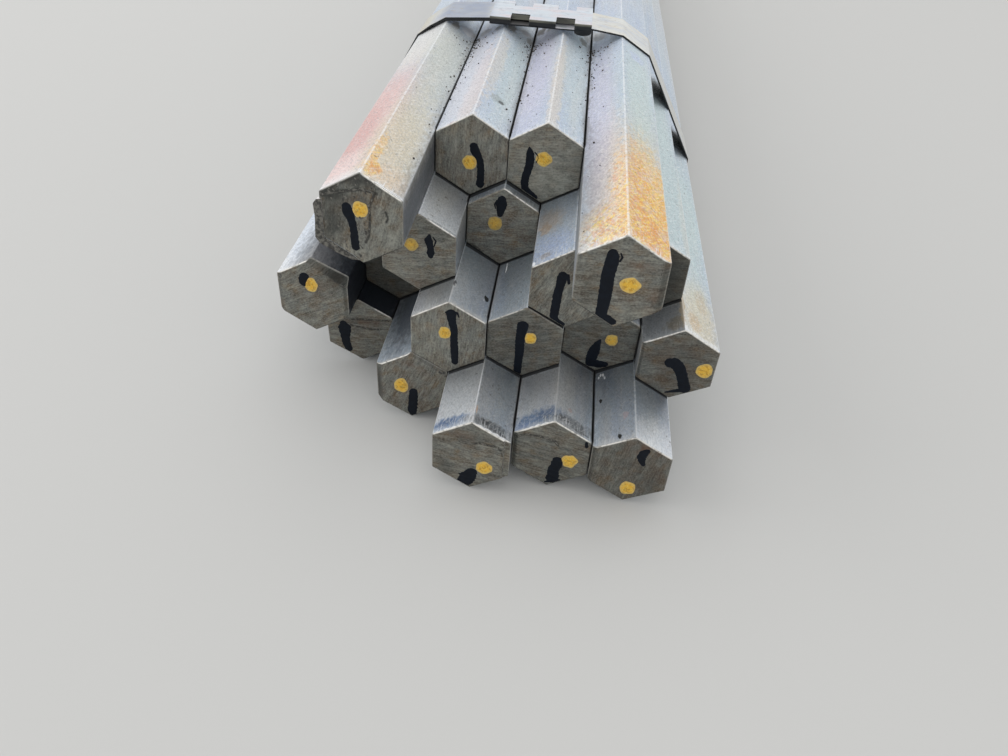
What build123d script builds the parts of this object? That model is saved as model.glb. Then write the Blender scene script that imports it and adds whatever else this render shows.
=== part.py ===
"""A strapped bundle of hexagonal steel bars, as its separate bars, straps and crimped seals.

Millimetres. X runs across the bundle, Y along the bars from their front ends to their back ends,
and Z up. The origin is under the middle of the bundle, on the floor that the straps lie on.
"""

from build123d import *
from math import cos, pi, radians, sin, sqrt, tan
import os

# The bars: drawn hexagons that lie corner up, in rows that nest like a honeycomb.
FLAT = 25.4
BAR_LENGTH = 3048.0
CORNER_RADIUS = 0.7
END_BREAK = 0.3
SLACK = 0.3

# One row of bars for each line, from the top row down and from left to right. For each bar: how far
# its front end stands back from the foremost one, and how many degrees its saw cut leans away from
# square, first towards its right and then towards its top.
FRONT_ENDS = (
    ((27, -3, 3), (79, -1.5, 2), (78, -1, 1.5), (7, -2, 2)),
    ((74, 0, 0), (48, -1, 0.5), (71, -1.5, 4), (35, 3, 0.5), (49, 0, 2.5)),
    ((48, -1.5, 1.5), (73, 1, -0.5), (32, 1, 1), (34, 0.5, -1), (41, -2, -2.5), (31, -2, -1)),
    ((60, 0.5, -2), (31, 0.5, 0), (0, -1.5, 1), (5, -1.5, 0.5), (2, -2.5, -0.5)),
)

# Edges of some front ends that slope back from the saw cut, where a grinder or rough handling has
# worn them. For each: the direction of the edge in degrees up from the bar's right, how far from the
# bar's axis the slope starts, and how steep it is in degrees.
WORN_EDGES = {
    "bar_row1_1": ((120, 11.4, 18),),
    "bar_row1_4": ((0, 10.4, 28),),
    "bar_row3_1": ((55, 10.6, 55), (180, 10.9, 35), (0, 11.0, 30)),
    "bar_row3_6": ((180, 11.5, 35),),
    "bar_row4_2": ((180, 10.2, 42), (60, 11.5, 45)),
    "bar_row4_4": ((180, 11.2, 30),),
    "bar_row4_5": ((180, 11.3, 40),),
}

# The ledge where the last sliver of a bar broke off behind the saw: its direction, how far from the
# axis it starts and how deep it lies behind the saw cut.
BROKEN_LEDGES = {"bar_row4_3": ((0, 10.8, 0.7),)}

# The burr that the shear left on the first bar of the top row. It stands out past the bar's left
# and lower left sides. Its outline on the cut, from the bar's axis, towards the right and up.
SHEARED_BAR = "bar_row1_1"
BURR_OUTLINE = (
    (-12.0, 5.2), (-13.6, 4.9), (-14.7, 3.4), (-14.4, -1.0), (-14.8, -7.6), (-13.4, -9.5),
    (-8.4, -11.9), (-3.6, -13.7), (-1.0, -13.6), (-4.0, -11.6), (-12.0, -7.2),
)
BURR_PROUD = 0.35
BURR_DEPTH = 1.3
CUTTER = 60.0

# The straps: flat steel strip pulled tight round the corners that stand out furthest.
STRAP_WIDTH = 25.4
STRAP_THICKNESS = 0.7
STRAP_SETBACK = 182.0
STRAP_CLEARANCE = 0.05
LAYER_GAP = 0.1
TAIL_DROP = 6.0
TAIL_RAMP = 2.0
EASY_BEND = 4.0

# The seals: a sleeve folded round both ends of the strap, then cut and bent at four notches. The
# joint is stiff and stands a little off the corners under it.
SEAL_LENGTH = 44.4
SEAL_THICKNESS = 0.8
SEAL_OFFSET = 2.6
SEAL_SIDE_CLEARANCE = 0.4
SEAL_LIFT = 0.7
SEAL_LIP = 9.0
SEAL_FOLD_INSIDE = 0.3
NOTCH_PLACES = (-9.1, 10.7)
NOTCH_LENGTH = 8.2
NOTCH_DEPTH = 7.5
NOTCH_CLEARANCE = 0.3
FLAP_LENGTH = 2.0
FLAP_ANGLE = 68.0
DROOP_INSET = 0.1
DROOP = 1.5

# What follows from the sizes above.
PITCH = FLAT + SLACK
ROW_DROP = PITCH * sqrt(3) / 2
CORNER_REACH = (FLAT / 2 - CORNER_RADIUS) / cos(pi / 6)
BEND_RADIUS = CORNER_RADIUS + STRAP_CLEARANCE + STRAP_THICKNESS / 2
BOTTOM_ROW_HEIGHT = CORNER_REACH + CORNER_RADIUS + STRAP_CLEARANCE + STRAP_THICKNESS
RIDGE_HEIGHT = BOTTOM_ROW_HEIGHT + ROW_DROP * (len(FRONT_ENDS) - 1) + CORNER_REACH + CORNER_RADIUS
DEEPEST_SETBACK = max(end[0] for row in FRONT_ENDS for end in row)
BUNDLE_LENGTH = BAR_LENGTH + DEEPEST_SETBACK
FRONT = -BUNDLE_LENGTH / 2

SEAL_STACK = 2 * STRAP_THICKNESS + 3 * LAYER_GAP
SEAL_WIDTH = STRAP_WIDTH + 2 * (SEAL_SIDE_CLEARANCE + SEAL_THICKNESS)
SEAL_HEIGHT = SEAL_STACK + 2 * SEAL_THICKNESS
SEAL_FOLD_RADIUS = SEAL_FOLD_INSIDE + SEAL_THICKNESS
SEAL_BASE = RIDGE_HEIGHT + STRAP_CLEARANCE + SEAL_LIFT
LOWER_LAYER = SEAL_BASE + SEAL_THICKNESS + LAYER_GAP + STRAP_THICKNESS / 2
UPPER_LAYER = LOWER_LAYER + STRAP_THICKNESS + LAYER_GAP
SEAL_LEFT = SEAL_OFFSET - SEAL_LENGTH / 2
SEAL_RIGHT = SEAL_OFFSET + SEAL_LENGTH / 2


def bar_centre(row, place):
    """Where a bar's axis crosses the XZ plane. Rows count from the top and places from the left."""
    across = (place - (len(FRONT_ENDS[row]) - 1) / 2) * PITCH
    up = BOTTOM_ROW_HEIGHT + (len(FRONT_ENDS) - 1 - row) * ROW_DROP
    return Vector(across, up)


def hexagon(inner_radius):
    """A sharp hexagon, corner up."""
    return RegularPolygon(radius=inner_radius, side_count=6, major_radius=False, rotation=30)


def bar_name(row, place):
    """Rows and places are counted from 1 in the names."""
    return f"bar_row{row + 1}_{place + 1}"


def beyond_edge(saw_cut, direction, start, slope, depth):
    """What a worn or broken edge takes off a bar: all that is further out than start and in front of
    a plane that lies depth behind the saw cut there and slopes back from it."""
    at_edge = saw_cut * Rot(0, 0, -direction) * Pos(start, 0, depth) * Rot(0, -slope, 0)
    return at_edge * Pos(CUTTER / 2, 0, -CUTTER / 2) * Box(CUTTER, CUTTER, CUTTER)


def shear_burr(saw_cut):
    """The sheared bar's burr. The plane of the cut has its second axis pointing down."""
    outline = Polyline(*[(across, -up) for across, up in BURR_OUTLINE], close=True)
    return extrude(saw_cut * Pos(0, 0, -BURR_PROUD) * make_face(outline), BURR_DEPTH)


def hex_bar(row, place):
    """One bar, sawn square at the back and a little out of square in front, with its edges broken.

    The drawn bar is cut off by one pyramid at each end. A pyramid's flat top is the saw cut, and its
    sides slope at 45 degrees, which breaks the edges."""
    name = bar_name(row, place)
    setback, lean_right, lean_up = FRONT_ENDS[row][place]
    right, up = tan(radians(lean_right)), tan(radians(lean_up))
    centre = bar_centre(row, place)
    front_end = Vector(centre.X, FRONT + setback, centre.Y)
    back_end = front_end + Vector(0, BAR_LENGTH, 0)
    saw_cut = Plane(front_end, x_dir=(1, right, 0), z_dir=(-right, 1, -up))
    square_cut = Plane(back_end, x_dir=(1, 0, 0), z_dir=(0, -1, 0))
    drawn_section = fillet(hexagon(FLAT / 2).vertices(), CORNER_RADIUS)
    spare = Pos(0, 0, -FLAT)
    bar = extrude(square_cut * spare * drawn_section, BAR_LENGTH + 2 * FLAT)
    for cut in (saw_cut, square_cut):
        bar &= extrude(cut * hexagon(FLAT / 2 - END_BREAK), BAR_LENGTH + FLAT, taper=-45)
    for direction, start, slope in WORN_EDGES.get(name, ()):
        bar -= beyond_edge(saw_cut, direction, start, slope, 0)
    for direction, start, depth in BROKEN_LEDGES.get(name, ()):
        bar -= beyond_edge(saw_cut, direction, start, 0, depth)
    if name == SHEARED_BAR:
        bar += shear_burr(saw_cut)
    return bar


def corner_centre(row, place, angle):
    """The centre of a bar's rounded corner, at an angle in degrees from the right."""
    turn = radians(angle)
    return bar_centre(row, place) + Vector(cos(turn), sin(turn)) * CORNER_REACH


def outer_corners():
    """The corner centres that a strap goes round, from the top right corner over the top and left."""
    top, bottom = 0, len(FRONT_ENDS) - 1
    widest = max(range(len(FRONT_ENDS)), key=lambda row: len(FRONT_ENDS[row]))
    first, last = 0, -1
    left = [(top, 90), (top, 150), (widest, 150), (widest, 210), (bottom, 210), (bottom, 270)]
    right = [(row, 180 - angle) for row, angle in reversed(left)]
    corners = [corner_centre(row, first, angle) for row, angle in left]
    corners += [corner_centre(row, len(FRONT_ENDS[row]) + last, angle) for row, angle in right]
    return corners[-1:] + corners[:-1]


def offset_corners(corners, distance):
    """Each corner of a closed outline moved out, so that both sides that meet there move by distance."""
    moved = []
    for before, corner, after in zip(corners[-1:] + corners[:-1], corners, corners[1:] + corners[:1]):
        normals = []
        for run in (corner - before, after - corner):
            way = run.normalized()
            normals.append(Vector(way.Y, -way.X))
        first, second = normals
        moved.append(corner + (first + second) * (distance / (1 + first.dot(second))))
    return moved


def strap_line():
    """The centre line of the strip from its upper end in the seal, once round, to its tail underneath."""
    corners = outer_corners()
    near = offset_corners(corners, BEND_RADIUS)
    far_radius = BEND_RADIUS + STRAP_THICKNESS + LAYER_GAP
    far = offset_corners(corners, far_radius)
    down_left = (near[2] - near[1]).normalized()
    upper_end = Vector(SEAL_RIGHT - SEAL_THICKNESS, UPPER_LAYER)
    upper_mouth = Vector(SEAL_LEFT, UPPER_LAYER)
    past_tail = far[1] + down_left * (TAIL_DROP + TAIL_RAMP)
    lower_mouths = [Vector(SEAL_RIGHT, LOWER_LAYER), Vector(SEAL_LEFT, LOWER_LAYER)]
    tail_end = near[1] + down_left * TAIL_DROP
    points = [upper_end, upper_mouth, far[1], past_tail, *near[2:], near[0], *lower_mouths, near[1], tail_end]
    round_corners = [BEND_RADIUS] * (len(near) - 1)
    radii = [EASY_BEND, far_radius, EASY_BEND, *round_corners, EASY_BEND, EASY_BEND, BEND_RADIUS]
    return FilletPolyline(*points, radius=radii)


def notch_cuts(y_middle, depth, clearance, bottom):
    """The blocks cut out of both edges of the joint at each notch, from the top down to a height."""
    cuts = []
    for place in NOTCH_PLACES:
        for side in (-1, 1):
            inner = SEAL_WIDTH / 2 - depth
            y = y_middle + side * (inner + SEAL_WIDTH / 2)
            size = (NOTCH_LENGTH + 2 * clearance, SEAL_WIDTH, 2 * SEAL_HEIGHT)
            cuts.append(Pos(SEAL_OFFSET + place, y, bottom + SEAL_HEIGHT) * Box(*size))
    return cuts


def strap(y_middle):
    """The strip, carried round the bundle, with both of its layers notched inside the seal."""
    edge = Plane((0, y_middle + STRAP_WIDTH / 2, 0), x_dir=(1, 0, 0), z_dir=(0, -1, 0))
    strip = extrude(edge * trace(strap_line(), STRAP_THICKNESS), STRAP_WIDTH)
    return strip - notch_cuts(y_middle, NOTCH_DEPTH + NOTCH_CLEARANCE, NOTCH_CLEARANCE, SEAL_BASE)


def drooping_edge(y_middle):
    """The rounded edge that the crimping tool has pushed down in front, below the seal's last section."""
    inner_end = SEAL_OFFSET + NOTCH_PLACES[-1] + NOTCH_LENGTH / 2
    half_length = (SEAL_RIGHT - inner_end) / 2
    lower_half = Ellipse(half_length, DROOP) & Pos(0, -DROOP) * Rectangle(2 * half_length, 2 * DROOP)
    root = Pos(0, SEAL_HEIGHT / 4) * Rectangle(2 * half_length, SEAL_HEIGHT / 2)
    place = (inner_end + half_length, y_middle - SEAL_WIDTH / 2 + DROOP_INSET, SEAL_BASE)
    front = Plane(place, x_dir=(1, 0, 0), z_dir=(0, -1, 0))
    return extrude(front * (lower_half + root), -SEAL_THICKNESS)


def seal(y_middle):
    """The sleeve: folded under on both sides, notched down to its lower lips, each notch's flap bent in."""
    outside = RectangleRounded(SEAL_WIDTH, SEAL_HEIGHT, SEAL_FOLD_RADIUS)
    room = RectangleRounded(SEAL_WIDTH - 2 * SEAL_THICKNESS, SEAL_STACK, SEAL_FOLD_INSIDE)
    between_lips = Pos(0, -SEAL_HEIGHT / 2) * Rectangle(SEAL_WIDTH - 2 * SEAL_LIP, SEAL_HEIGHT)
    section = outside - room - between_lips
    middle = Vector(SEAL_LEFT, y_middle, SEAL_BASE + SEAL_HEIGHT / 2)
    sleeve = extrude(Plane(middle, x_dir=(0, 1, 0), z_dir=(1, 0, 0)) * section, SEAL_LENGTH)
    sleeve -= notch_cuts(y_middle, NOTCH_DEPTH, 0, SEAL_BASE + SEAL_THICKNESS)
    plate_middle = SEAL_BASE + SEAL_HEIGHT - SEAL_THICKNESS / 2
    flap = Pos(0, FLAP_LENGTH / 2, 0) * Box(NOTCH_LENGTH, FLAP_LENGTH, SEAL_THICKNESS)
    for place in NOTCH_PLACES:
        for turn in (0, 180):
            root = Pos(SEAL_OFFSET + place, y_middle, plate_middle) * Rot(0, 0, turn)
            hinge = Pos(0, SEAL_WIDTH / 2 - NOTCH_DEPTH, 0) * Rot(-FLAP_ANGLE, 0, 0)
            sleeve += root * hinge * flap
    return sleeve + drooping_edge(y_middle)


def save(name, solid):
    """Writes one piece to its own file."""
    export_step(solid, f"parts/{name}.step")


os.makedirs("parts", exist_ok=True)

for row, ends in enumerate(FRONT_ENDS):
    for place in range(len(ends)):
        save(bar_name(row, place), hex_bar(row, place))

outermost = BUNDLE_LENGTH / 2 - STRAP_SETBACK - STRAP_WIDTH / 2
for name, y_middle in (("front", -outermost), ("middle", 0.0), ("back", outermost)):
    save(f"strap_{name}", strap(y_middle))
    save(f"seal_{name}", seal(y_middle))
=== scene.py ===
# %% [markdown]
# A strapped bundle of twenty drawn hexagonal steel bars, in Blender. The bars, straps and seals are
# already modelled and packed at their real size, so they come in first and nothing here moves them
# or changes their shape. What this file adds is what a workshop gives such a bundle: the saw's
# marks and burrs on the ends, dots of paint and strokes of marker, dirt, rust, and a finish for
# every surface. All of it is in metres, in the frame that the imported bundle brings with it.

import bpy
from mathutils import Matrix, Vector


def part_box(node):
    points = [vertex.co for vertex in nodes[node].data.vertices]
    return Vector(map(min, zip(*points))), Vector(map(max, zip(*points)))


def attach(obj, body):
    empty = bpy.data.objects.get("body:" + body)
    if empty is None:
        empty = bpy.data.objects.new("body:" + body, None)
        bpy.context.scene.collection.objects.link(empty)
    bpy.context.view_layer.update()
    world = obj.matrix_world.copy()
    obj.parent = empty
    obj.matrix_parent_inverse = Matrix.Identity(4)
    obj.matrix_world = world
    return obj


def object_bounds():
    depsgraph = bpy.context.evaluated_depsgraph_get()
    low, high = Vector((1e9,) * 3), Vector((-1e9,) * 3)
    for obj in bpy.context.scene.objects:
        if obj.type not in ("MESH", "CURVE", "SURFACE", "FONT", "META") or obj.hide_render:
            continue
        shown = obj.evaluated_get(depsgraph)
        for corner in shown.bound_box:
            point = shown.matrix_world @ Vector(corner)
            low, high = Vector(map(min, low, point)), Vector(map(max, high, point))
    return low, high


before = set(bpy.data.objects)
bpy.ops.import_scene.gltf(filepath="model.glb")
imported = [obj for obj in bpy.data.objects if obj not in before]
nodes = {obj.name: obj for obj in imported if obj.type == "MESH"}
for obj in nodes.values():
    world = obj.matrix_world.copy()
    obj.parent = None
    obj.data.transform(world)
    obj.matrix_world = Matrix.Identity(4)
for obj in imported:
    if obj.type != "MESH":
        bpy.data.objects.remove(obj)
cad_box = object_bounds()
print(len(nodes), "pieces of the bundle, in a box of", [round(c, 4) for c in cad_box[1] - cad_box[0]])

# %% [markdown]
# The other modules that the file needs, and two habits. Sizes are written in millimetres and turned
# into metres with one factor, because a bar end is easier to think of in millimetres. Colours are
# written as the hex code that a paint program shows, and one function turns them into the linear
# values that a shader works with.

# %% Sizes and colours
from math import cos, pi, radians, sin

import bpy
import numpy as np
from mathutils import Matrix, Vector

MM = 0.001
PER_MM = 1000.0


def hex_colour(code):
    """The linear RGBA of an sRGB hex code: below 0.04045 a channel is divided by 12.92, and above it
    the channel plus 0.055 is divided by 1.055 and raised to the power of 2.4."""
    channel = np.array([int(code[place:place + 2], 16) for place in (1, 3, 5)]) / 255
    linear = np.where(channel <= 0.04045, channel / 12.92, ((channel + 0.055) / 1.055) ** 2.4)
    return (*linear.tolist(), 1.0)


print("middle grey is", round(hex_colour("#808080")[0], 4), "in linear light")

# %% [markdown]
# The camera stands where the photograph was taken from: above the bar ends and a little in front of
# them, looking down along the bars through a phone's wide lens. The turns are made in the order
# of a camera on a tripod: first rolled about its own view, then tipped, then turned to the side.

# %% Camera
CAMERA_PLACE = (19.5, -1739.7, 197.0)
LOOKS_DOWN = 39.85
TURNS_LEFT = 3.42
ROLLS_LEFT = 4.23
LENS = 27.8
SENSOR = 36.0
UPRIGHT = 90

camera_data = bpy.data.cameras.new("camera")
camera_data.lens = LENS
camera_data.sensor_width = SENSOR
camera_data.clip_start = 5 * MM
camera_data.clip_end = 40
camera = bpy.data.objects.new("camera", camera_data)
camera.location = [place * MM for place in CAMERA_PLACE]
turned = Matrix.Rotation(radians(TURNS_LEFT), 3, "Z")
tipped = Matrix.Rotation(radians(UPRIGHT - LOOKS_DOWN), 3, "X")
rolled = Matrix.Rotation(radians(ROLLS_LEFT), 3, "Z")
camera.rotation_euler = (turned @ tipped @ rolled).to_euler()
bpy.context.scene.collection.objects.link(camera)
bpy.context.scene.camera = camera
print("the camera is", CAMERA_PLACE[2], "mm above the floor")

# %% [markdown]
# One small function adds every shader node in this file. It takes the kind of node, a dictionary of
# what goes into its sockets, and its other settings. A value is written into the socket, and another
# node's output is linked to it. The others build on it: a new material with its shader, a place in
# millimetres, soft patches of noise, and coats of colour that are laid over each other.

# %% Nodes
MIX_FACTOR, MIX_UNDER, MIX_OVER, MIX_RESULT = 0, 6, 7, 2


def plug(tree, node, inputs):
    """Fills a node's inputs: a value is written in, and another node's output is linked."""
    for name, value in inputs.items():
        if isinstance(value, bpy.types.NodeSocket):
            tree.links.new(value, node.inputs[name])
        else:
            node.inputs[name].default_value = value


def add(tree, kind, inputs, **settings):
    """Adds one shader node, fills and links its inputs, and returns its outputs."""
    node = tree.nodes.new("ShaderNode" + kind)
    for name, value in settings.items():
        setattr(node, name, value)
    plug(tree, node, inputs)
    return node.outputs


def new_finish(name):
    """A new material, its node tree and its shader."""
    finish = bpy.data.materials.new(name)
    finish.use_nodes = True
    return finish, finish.node_tree, finish.node_tree.nodes["Principled BSDF"]


def in_millimetres(tree, start=(0, 0, 0)):
    """Where a point of a piece is, in millimetres from a start."""
    place = add(tree, "TexCoord", {})["Object"]
    moved = {"Vector": place, "Location": [-part for part in start], "Scale": [PER_MM] * 3}
    return add(tree, "Mapping", moved)["Vector"]


def product(tree, *values):
    """Masks and numbers multiplied together."""
    result = values[0]
    for value in values[1:]:
        result = add(tree, "Math", {0: result, 1: value}, operation="MULTIPLY")["Value"]
    return result


def largest(tree, *values):
    """The largest of some masks at each point."""
    result = values[0]
    for value in values[1:]:
        result = add(tree, "Math", {0: result, 1: value}, operation="MAXIMUM")["Value"]
    return result


def as_colour(colour):
    """The linear colour of a hex code. A colour that another node puts out stays as it is."""
    return hex_colour(colour) if isinstance(colour, str) else colour


def layered(tree, colour, coats):
    """Lays coats over a colour, the last one on top. A coat is its mask, how strong it is and its
    colour. A colour is a hex code or another node's output."""
    under = as_colour(colour)
    for mask, strength, over in coats:
        mask = mask if strength == 1 else product(tree, mask, strength)
        sockets = {MIX_FACTOR: mask, MIX_UNDER: under, MIX_OVER: as_colour(over)}
        under = add(tree, "Mix", sockets, data_type="RGBA")[MIX_RESULT]
    return under


def patches(tree, place, size, low, high):
    """A mask of soft patches: noise that is stretched to a size, or to one for each axis, in the unit
    of place. It is 0 where the noise is under low, 1 where it is over high, and smooth between."""
    scale = (1 / np.broadcast_to(np.array(size, float), 3)).tolist()
    stretched = add(tree, "Mapping", {"Vector": place, "Scale": scale})["Vector"]
    noise = add(tree, "TexNoise", {"Vector": stretched, "Scale": 1.0, "Detail": 3.0})["Fac"]
    ends = {"Value": noise, "From Min": low, "From Max": high}
    return add(tree, "MapRange", ends, interpolation_type="SMOOTHSTEP")["Result"]


def between(tree, value, low, high):
    """A mask that goes smoothly from 0 at low to 1 at high, or the other way if low is the larger."""
    flip = low > high
    ends = {"Value": value, "From Min": min(low, high), "From Max": max(low, high)}
    ends |= {"To Min": float(flip), "To Max": float(not flip)}
    return add(tree, "MapRange", ends, interpolation_type="SMOOTHSTEP")["Result"]


# %% [markdown]
# The bundle lies on a plain pale floor under soft studio light. The floor is one large sheet, the
# world gives even light from all around, as a white tent does, and one wide lamp above the bar ends
# lets the upper sides of the bars shine and the hollows between them go dark. A second one on the
# left makes the sides that face it a little brighter than the others, as they are on the photograph.

# %% Floor and light
FLOOR_COLOUR = "#cbcbc9"
FLOOR_HALF_SIZE = 9.0
WORLD_STRENGTH = 0.86
# The power, the size, the place and the target of each lamp, in watts and metres.
LAMPS = {
    "soft_box_above": (4.0, 1.6, (-0.3, -0.9, 1.7), (-0.3, -0.9, 0.0)),
    "soft_box_left": (13.0, 1.8, (-2.2, -1.3, 1.3), (0.0, -1.4, 0.0)),
}

world = bpy.data.worlds.new("white_tent")
world.use_nodes = True
tent = world.node_tree.nodes["Background"]
tent.inputs["Color"].default_value = hex_colour("#ffffff")
tent.inputs["Strength"].default_value = WORLD_STRENGTH
bpy.context.scene.world = world
bpy.context.scene.view_settings.view_transform = "Standard"

for name, (power, size, place, target) in LAMPS.items():
    lamp_data = bpy.data.lights.new(name, "AREA")
    lamp_data.energy = power
    lamp_data.size = size
    lamp = bpy.data.objects.new(name, lamp_data)
    lamp.location = place
    lamp.rotation_euler = (Vector(target) - Vector(place)).to_track_quat("-Z", "Y").to_euler()
    bpy.context.scene.collection.objects.link(lamp)

side = FLOOR_HALF_SIZE
floor_data = bpy.data.meshes.new("floor")
corners = [(-side, -side, 0), (side, -side, 0), (side, side, 0), (-side, side, 0)]
floor_data.from_pydata(corners, [], [(0, 1, 2, 3)])
floor = bpy.data.objects.new("floor", floor_data)
bpy.context.scene.collection.objects.link(floor)
floor_finish, _, floor_shader = new_finish("studio_floor")
plug(floor_finish.node_tree, floor_shader, {"Base Color": hex_colour(FLOOR_COLOUR), "Roughness": 0.9})
floor_data.materials.append(floor_finish)
print(len(LAMPS), "lamps of", sum(lamp[0] for lamp in LAMPS.values()), "W together")

# %% [markdown]
# Every piece that is added to a bar end has to lie exactly on it, and the saw cuts stand back and
# lean by different amounts, with broken edges and worn slopes of their own. Instead of repeating
# those numbers, this cell reads each end from the bar's own mesh. A bar is what is left inside a
# few flat planes, so its end is, at each point, the plane that cuts deepest there. The sides of the
# back half, where nothing is broken, give the outline and the axis.

# %% Read the ends of the bars
FRONT, BACK = -1, 1
FACING = 0.3
SIDEWAYS = 0.05
SAME_WAY = 0.999
ALMOST_ZERO = 1e-6
# A broken ledge on the right of an end: how far from the axis it starts and how deep it is.
LEDGES = {"bar_row4_3": (10.8, 0.7)}


def triangles_of(node):
    """The normals and areas of a node's faces, and the three corners of each."""
    mesh = node.data
    count = len(mesh.polygons)
    normals, areas = np.empty(count * 3), np.empty(count)
    corners, places = np.empty(len(mesh.loops), int), np.empty(len(mesh.vertices) * 3)
    mesh.polygons.foreach_get("normal", normals)
    mesh.polygons.foreach_get("area", areas)
    mesh.loops.foreach_get("vertex_index", corners)
    mesh.vertices.foreach_get("co", places)
    return normals.reshape(-1, 3), areas, places.reshape(-1, 3)[corners].reshape(-1, 3, 3)


class BarEnd:
    """One end of a bar. Points on it are given in millimetres from the bar's axis, right and up as
    one sees them from the front."""

    def __init__(self, node, way):
        self.name = node.name
        self.way = way
        normals, areas, corners = triangles_of(node)
        sides = (np.abs(normals[:, 1]) < SIDEWAYS)[:, None] & (corners[..., 1] > 0)
        outline = np.unique(corners[sides][:, (0, 2)].round(7), axis=0)
        self.axis = (outline.min(axis=0) + outline.max(axis=0)) / 2
        around = (outline - self.axis) * PER_MM
        around = around[np.argsort(np.arctan2(around[:, 1], around[:, 0]))]
        edge = np.roll(around, -1, axis=0) - around
        outward = np.stack([edge[:, 1], -edge[:, 0]], axis=1) / np.linalg.norm(edge, axis=1)[:, None]
        self.edge_way, self.edge_reach = outward, (around * outward).sum(axis=1)
        facing = normals[:, 1] * way > FACING
        main = np.argmax(areas * facing)
        self.normal = normals[main]
        level = (corners[:, 0] * normals).sum(axis=1)
        kept = facing & (normals @ self.normal < SAME_WAY)
        kept[main] = True
        self.planes = np.concatenate([normals[kept], level[kept, None]], axis=1)
        self.main = np.append(normals[main], level[main])

    def reach(self, angle):
        """How far the outline is from the axis in each direction: the nearest of its edges, each of
        which is its own distance divided by the cosine of the angle to it."""
        towards = np.stack([np.cos(angle), np.sin(angle)], axis=-1) @ self.edge_way.T
        distance = self.edge_reach / np.maximum(towards, ALMOST_ZERO)
        return np.where(towards > ALMOST_ZERO, distance, np.inf).min(axis=-1)

    def depth(self, across, up, planes=None):
        """The Y of the end at a point, in metres: that of the plane that cuts deepest there."""
        planes = self.planes if planes is None else planes
        x, z = self.axis[0] + across * MM, self.axis[1] + up * MM
        y = (planes[:, 3] - planes[:, 0] * x[..., None] - planes[:, 2] * z[..., None]) / planes[:, 1]
        return self.way * (self.way * y).min(axis=-1)

    def worn(self, across, up):
        """How far the end has been worn down below its saw cut at a point, in millimetres."""
        return self.way * (self.depth(across, up, self.main[None]) - self.depth(across, up)) * PER_MM

    def point(self, across, up, proud):
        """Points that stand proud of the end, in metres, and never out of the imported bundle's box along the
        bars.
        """
        y = self.depth(across, up) + self.way * proud * MM
        y = np.clip(y, cad_box[0][1], cad_box[1][1])
        return np.stack([self.axis[0] + across * MM, y, self.axis[1] + up * MM], axis=-1)


bar_names = sorted(name for name in nodes if name.startswith("bar_"))
front_ends = {name: BarEnd(nodes[name], FRONT) for name in bar_names}
back_ends = {name: BarEnd(nodes[name], BACK) for name in bar_names}
for name in bar_names[:3]:
    print(name, "axis", (front_ends[name].axis * PER_MM).round(2), "normal", front_ends[name].normal.round(3))

# %% [markdown]
# All the small pieces share one way of being built. A piece is a closed shell: a first point, then
# rings of points round it, then a last point, like the lines of latitude on a globe with its two
# poles. A worn plate on a saw cut, a dot of paint, a stroke of marker and a crumb of dirt are all
# such shells with different rings. The last function below joins shells into one mesh, turns each
# one the right way out by the sign of its volume, and can carry numbers for the shader on its points.

# %% Closed shells
SHARP_EDGE = 40


def shell_faces(rings, around):
    """The faces of one shell: fans at both poles and quads between the rings."""
    grid = 1 + np.arange(rings * around).reshape(rings, around)
    onward = np.roll(grid, -1, axis=1)
    last = rings * around + 1
    quads = np.stack([grid[:-1], grid[1:], onward[1:], onward[:-1]], axis=-1).reshape(-1, 4)
    first_fan = np.stack([np.zeros(around, int), grid[0], onward[0]], axis=-1)
    last_fan = np.stack([grid[-1], np.full(around, last), onward[-1]], axis=-1)
    return quads, np.concatenate([first_fan, last_fan])


def volume(points, quads, fans):
    """Six times the volume of a shell, which is negative if its faces point inwards."""
    triangles = np.concatenate([quads[:, :3], quads[:, (0, 2, 3)], fans])
    a, b, c = (points[triangles[:, corner]] for corner in range(3))
    return np.einsum("ij,ij->", a, np.cross(b, c))


def shell_piece(name, shells, finishes):
    """One object from closed shells. A shell is (first point, rings, last point, finish number,
    numbers for the shader), where rings is an array of rings by points by three and the numbers
    are arrays with one value for each point of the rings. The poles take the mean of their ring."""
    points, faces, used, numbers = [], [], [], {}
    count = 0
    for first, rings, last, finish, values in shells:
        quads, fans = shell_faces(*rings.shape[:2])
        shell = np.concatenate([[first], rings.reshape(-1, 3), [last]])
        middle = shell.mean(axis=0)
        if volume(shell - middle, quads, fans) < 0:
            quads, fans = quads[:, ::-1], fans[:, ::-1]
        points.append(shell)
        faces += (quads + count).tolist() + (fans + count).tolist()
        used += [finish] * (len(quads) + len(fans))
        for key, value in values.items():
            whole = np.concatenate([[value[0].mean()], value.ravel(), [value[-1].mean()]])
            numbers.setdefault(key, []).append(whole)
        count += len(shell)
    mesh = bpy.data.meshes.new(name)
    mesh.from_pydata(np.concatenate(points).tolist(), [], faces)
    for key, value in numbers.items():
        mesh.attributes.new(key, "FLOAT", "POINT").data.foreach_set("value", np.concatenate(value))
    for finish in finishes:
        mesh.materials.append(finish)
    mesh.polygons.foreach_set("material_index", used)
    mesh.polygons.foreach_set("use_smooth", [True] * len(faces))
    mesh.set_sharp_from_angle(angle=radians(SHARP_EDGE))
    piece = bpy.data.objects.new(name, mesh)
    bpy.context.scene.collection.objects.link(piece)
    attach(piece, "root")
    return piece


print("4 rings of 6 points make", sum(len(part) for part in shell_faces(4, 6)), "faces")

# %% [markdown]
# Nothing on the ends is quite straight or even. Where a line, an edge or a surface has to wander, it
# is a sum of a few waves. Their lengths and starts come from a random generator with a fixed seed,
# so the bundle looks the same each time the file runs.

# %% Wandering lines
LINE_WAVES, SURFACE_WAVES = 7, 24


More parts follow.
